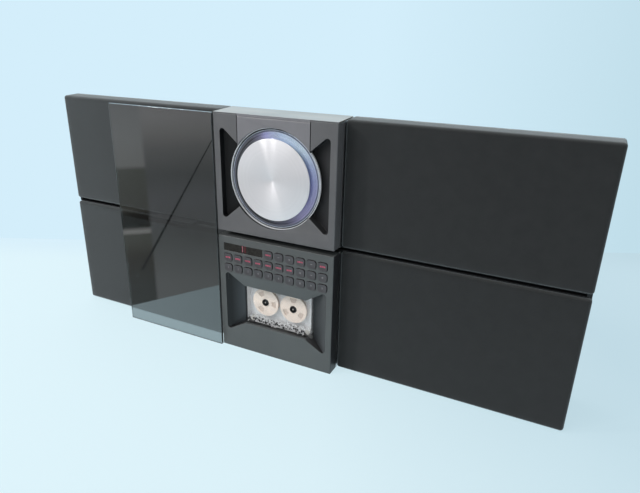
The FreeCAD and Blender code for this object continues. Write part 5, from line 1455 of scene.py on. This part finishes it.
def addHoledPlate(form, low, high, holes, radius, front, back):
    # a plate with round holes, as one outline filled with triangles and given its thickness
    steps = cassette["holeSteps"]
    outlines = [[(low[0], front, low[1]), (high[0], front, low[1]), (high[0], front, high[1]),
                 (low[0], front, high[1])]]
    outlines += [[around(hole, radius, turnTo(step, steps), front) for step in range(steps)]
                 for hole in holes]
    loops = [[form.verts.new(spot) for spot in outline] for outline in outlines]
    edges = [form.edges.new(pair) for loop in loops for pair in zip(loop, loop[1:] + loop[:1])]
    filled = bmesh.ops.triangle_fill(form, edges=edges, use_beauty=True)
    behind = {vertex: form.verts.new((vertex.co.x, back, vertex.co.z)) for loop in loops for vertex in loop}
    for face in filled["geom"]:
        if isinstance(face, bmesh.types.BMFace):
            form.faces.new([behind[vertex] for vertex in reversed(face.verts[:])])
    for loop in loops:
        for vertex, after in zip(loop, loop[1:] + loop[:1]):
            form.faces.new((vertex, after, behind[after], behind[vertex]))


def makeFoilFinish():
    # silvery slip sheet, a little crumpled
    tree, shader = newMaterial("slipSheet", {"Metallic": 0.1})
    place = localPlace(tree)
    folds = give(tree, "TexVoronoi", {"Vector": place, "Scale": 170.0}, feature="SMOOTH_F1")
    smear = noiseOn(tree, place, 60.0, 5.0)
    paint(tree, shader, mix(tree, smear, ink(226, 226, 228), ink(253, 253, 253)),
          span(tree, smear, 0.3, 0.7, 0.3, 0.5))
    addRelief(tree, shader, folds, 0.12 * mm)


def makePackFinish():
    # wound tape: fine turns and a few wider bands
    tree, shader = newMaterial("tapeTan")
    turns = useGroup(tree, turnedLines, Vector=localPlace(tree, middleOf("left_reel")), Pitch=0.2 * mm)
    paint(tree, shader, mix(tree, turns["Tone"], ink(214, 192, 176), ink(230, 212, 198)),
          span(tree, turns["Height"], 0.3, 0.7, 0.4, 0.55))


def makeSlipSheet(low, high, shield):
    side, front = cassette["side"], cassette["sheetFront"]
    left, right, under, top = low.x + side, high.x - side, low.z + cassette["sheetLow"], high.z - side
    form = bmesh.new()
    addHoledPlate(form, (left, under), (right, top), [middleOf("left_reel"), middleOf("right_reel")],
                  cassette["holeRadius"], front, front + cassette["sheetThickness"])
    for start in (left, right - cassette["fold"]):
        addBlock(form, (start, cassette["foldFront"], under),
                 (start + cassette["fold"], front - cassette["foldGap"], top))
    # a pale shield stands before the heads' way in
    half, (foot, head) = cassette["shieldHalf"], cassette["shieldHeights"]
    addBlock(form, (-half, shield - cassette["shieldThickness"], low.z + foot), (half, shield, low.z + head))
    addForm(form, "cassette_slip_sheet", "console", ["slipSheet"])


def makeCassette():
    low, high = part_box("cassette_shell")
    softCopy("cassette_shell", "console", ["cassetteClear"], cassette["edge"])
    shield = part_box("head_bridge")[0].y - cassette["shieldGap"]
    makeSlipSheet(low, high, shield)
    form = bmesh.new()
    for sign in (-1, 1):
        spot = Vector((sign * cassette["rollerAcross"], 0, low.z + cassette["rollerUp"]))
        addTurned(form, cassette["roller"], spot, cassette["rollerSteps"])
    addForm(form, "cassette_rollers", "console", ["rollerWhite"])
    tree = ribTree({**cassette["ribs"], "Start": (0.0, 0.0, 0.0)})
    # painted shade: the gaps are dark blocks set before the white sheet where the lower edge's openings show
    # dark
    for name, sizes, place, depth, finish in (("cassette_ribs", "ribs", "ribStart", 0.0, "ribSilver"),
                                              ("cassette_gap_shades", "gaps", "gapStart", shield, "darkPlastic")):
        across, back, up = cassette[place]
        addRun(name, tree, [(0, 0, 0)], "console", finish,
               {**cassette[sizes], "Start": Vector((low.x + across, depth + back, low.z + up))})
    # painted highlights: short guide pins lie along the ledge in front of the cassette, made white to give
    # its glints
    spots = [(x * mm, cassette["pinDepth"], centre["ledge"] + cassette["pinUp"])
             for x in cassette["ledgeGlintPins"]]
    addRun("ledge_glint_pins", pinTree(cassette["pin"]), spots, "console", "ribSilver", cassette["pin"])


def makeReels():
    tree = teethTree(reel["teeth"])
    for side, body in reel["bodies"].items():
        middle = middleOf(side + "_reel")

        def skipped(ring, step):
            angle = (360 * (step + 0.5) / reel["flangeSteps"] - reel["turn"][side]) % 120
            return ring in reel["windowRings"] and min(angle, 120 - angle) < reel["windowHalf"]

        form = bmesh.new()
        addSectorPlate(form, middle, reel["rings"], reel["flangeSteps"], skipped, reel["flange"])
        for part, material in (("pack", 1), ("hub", 2), ("cap", 3), ("spindle", 2)):
            addTurned(form, reel[part], middle, reel["steps"], [material] * (len(reel[part]) - 1))
        weld(form)
        addForm(form, side + "_reel_wound", body, ["reelCream", "tapeTan", "darkPlastic", "capGrey"],
                [side + "_reel"])
        addRun(side + "_hub_teeth", tree, [(middle.x, reel["teethDepth"], middle.z)], body, "darkPlastic",
               reel["teeth"])


seeThroughFinish("cassetteClear", ink(246, 247, 248), 0.10, 0.05, 0.03)
solidFinish("rollerWhite", ink(214, 212, 206), 0.4, relief=0.004, wear=0.0)
metalFinish("ribSilver", ink(250, 250, 250), 0.22, lines=400.0, sockets={"Metallic": 0.2})
solidFinish("capGrey", ink(176, 170, 164), 0.35, relief=0.004, wear=0.0, dusty=0.0)
solidFinish("reelCream", ink(255, 236, 222), 0.42, grain=800.0, relief=0.006, drift=0.04, wear=0.1)
makeFoilFinish()
makePackFinish()
makeCassette()
makeReels()
print("stage: cassette and reels made")


# Back: screws in their wells, and the contacts of the sockets

back = {
    "screw": inMetres({"Head Radius": 3.6, "Head Height": 2.2, "Shank Radius": 1.5, "Shank Length": 9.6,
                       "Cross Width": 0.9}),
    "pin": inMetres({"Radius": 0.6, "Length": 6.0}),
    "ringPins": 5,
    "ringStart": math.radians(180),
    "ringStep": math.radians(45),
    "pinCircle": 3.4 * mm,
    "pinDeep": 5.0 * mm,
    "sockets": (4.0, 23.0),
}


def islandMiddles(node):
    # the middle of each separate solid of a node
    form = copiedForm(node)
    waiting = set(form.verts)
    middles = []
    while waiting:
        edge = [waiting.pop()]
        island = list(edge)
        while edge:
            for link in edge.pop().link_edges:
                for vertex in link.verts:
                    if vertex in waiting:
                        waiting.remove(vertex)
                        edge.append(vertex)
                        island.append(vertex)
        spans = [[vertex.co[axis] for vertex in island] for axis in range(3)]
        middles.append(Vector([(min(values) + max(values)) / 2 for values in spans]))
    form.free()
    return middles


def makeBack():
    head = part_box("cabinet_screws")[1].y - back["screw"]["Head Height"] / 2
    spots = sorted({(round(spot.x, 4), round(head, 5), round(spot.z, 4))
                    for spot in islandMiddles("cabinet_screws")})
    addRun("cabinet_screws_cross", screwTree(back["screw"]), spots, "console", "blackScrews", back["screw"],
           ["cabinet_screws"])
    low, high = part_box("rear_sockets")
    turns = [back["ringStart"] + back["ringStep"] * index for index in range(back["ringPins"])]
    depth, up = high.y - back["pinDeep"], (low.z + high.z) / 2
    spots = [around(Vector((x * mm, 0, up)), back["pinCircle"], turn, depth)
             for x in back["sockets"] for turn in turns]
    addRun("socket_contacts", pinTree(back["pin"]), spots, "console", "turnedSteel", back["pin"])


makeBack()
print("stage: back finished")
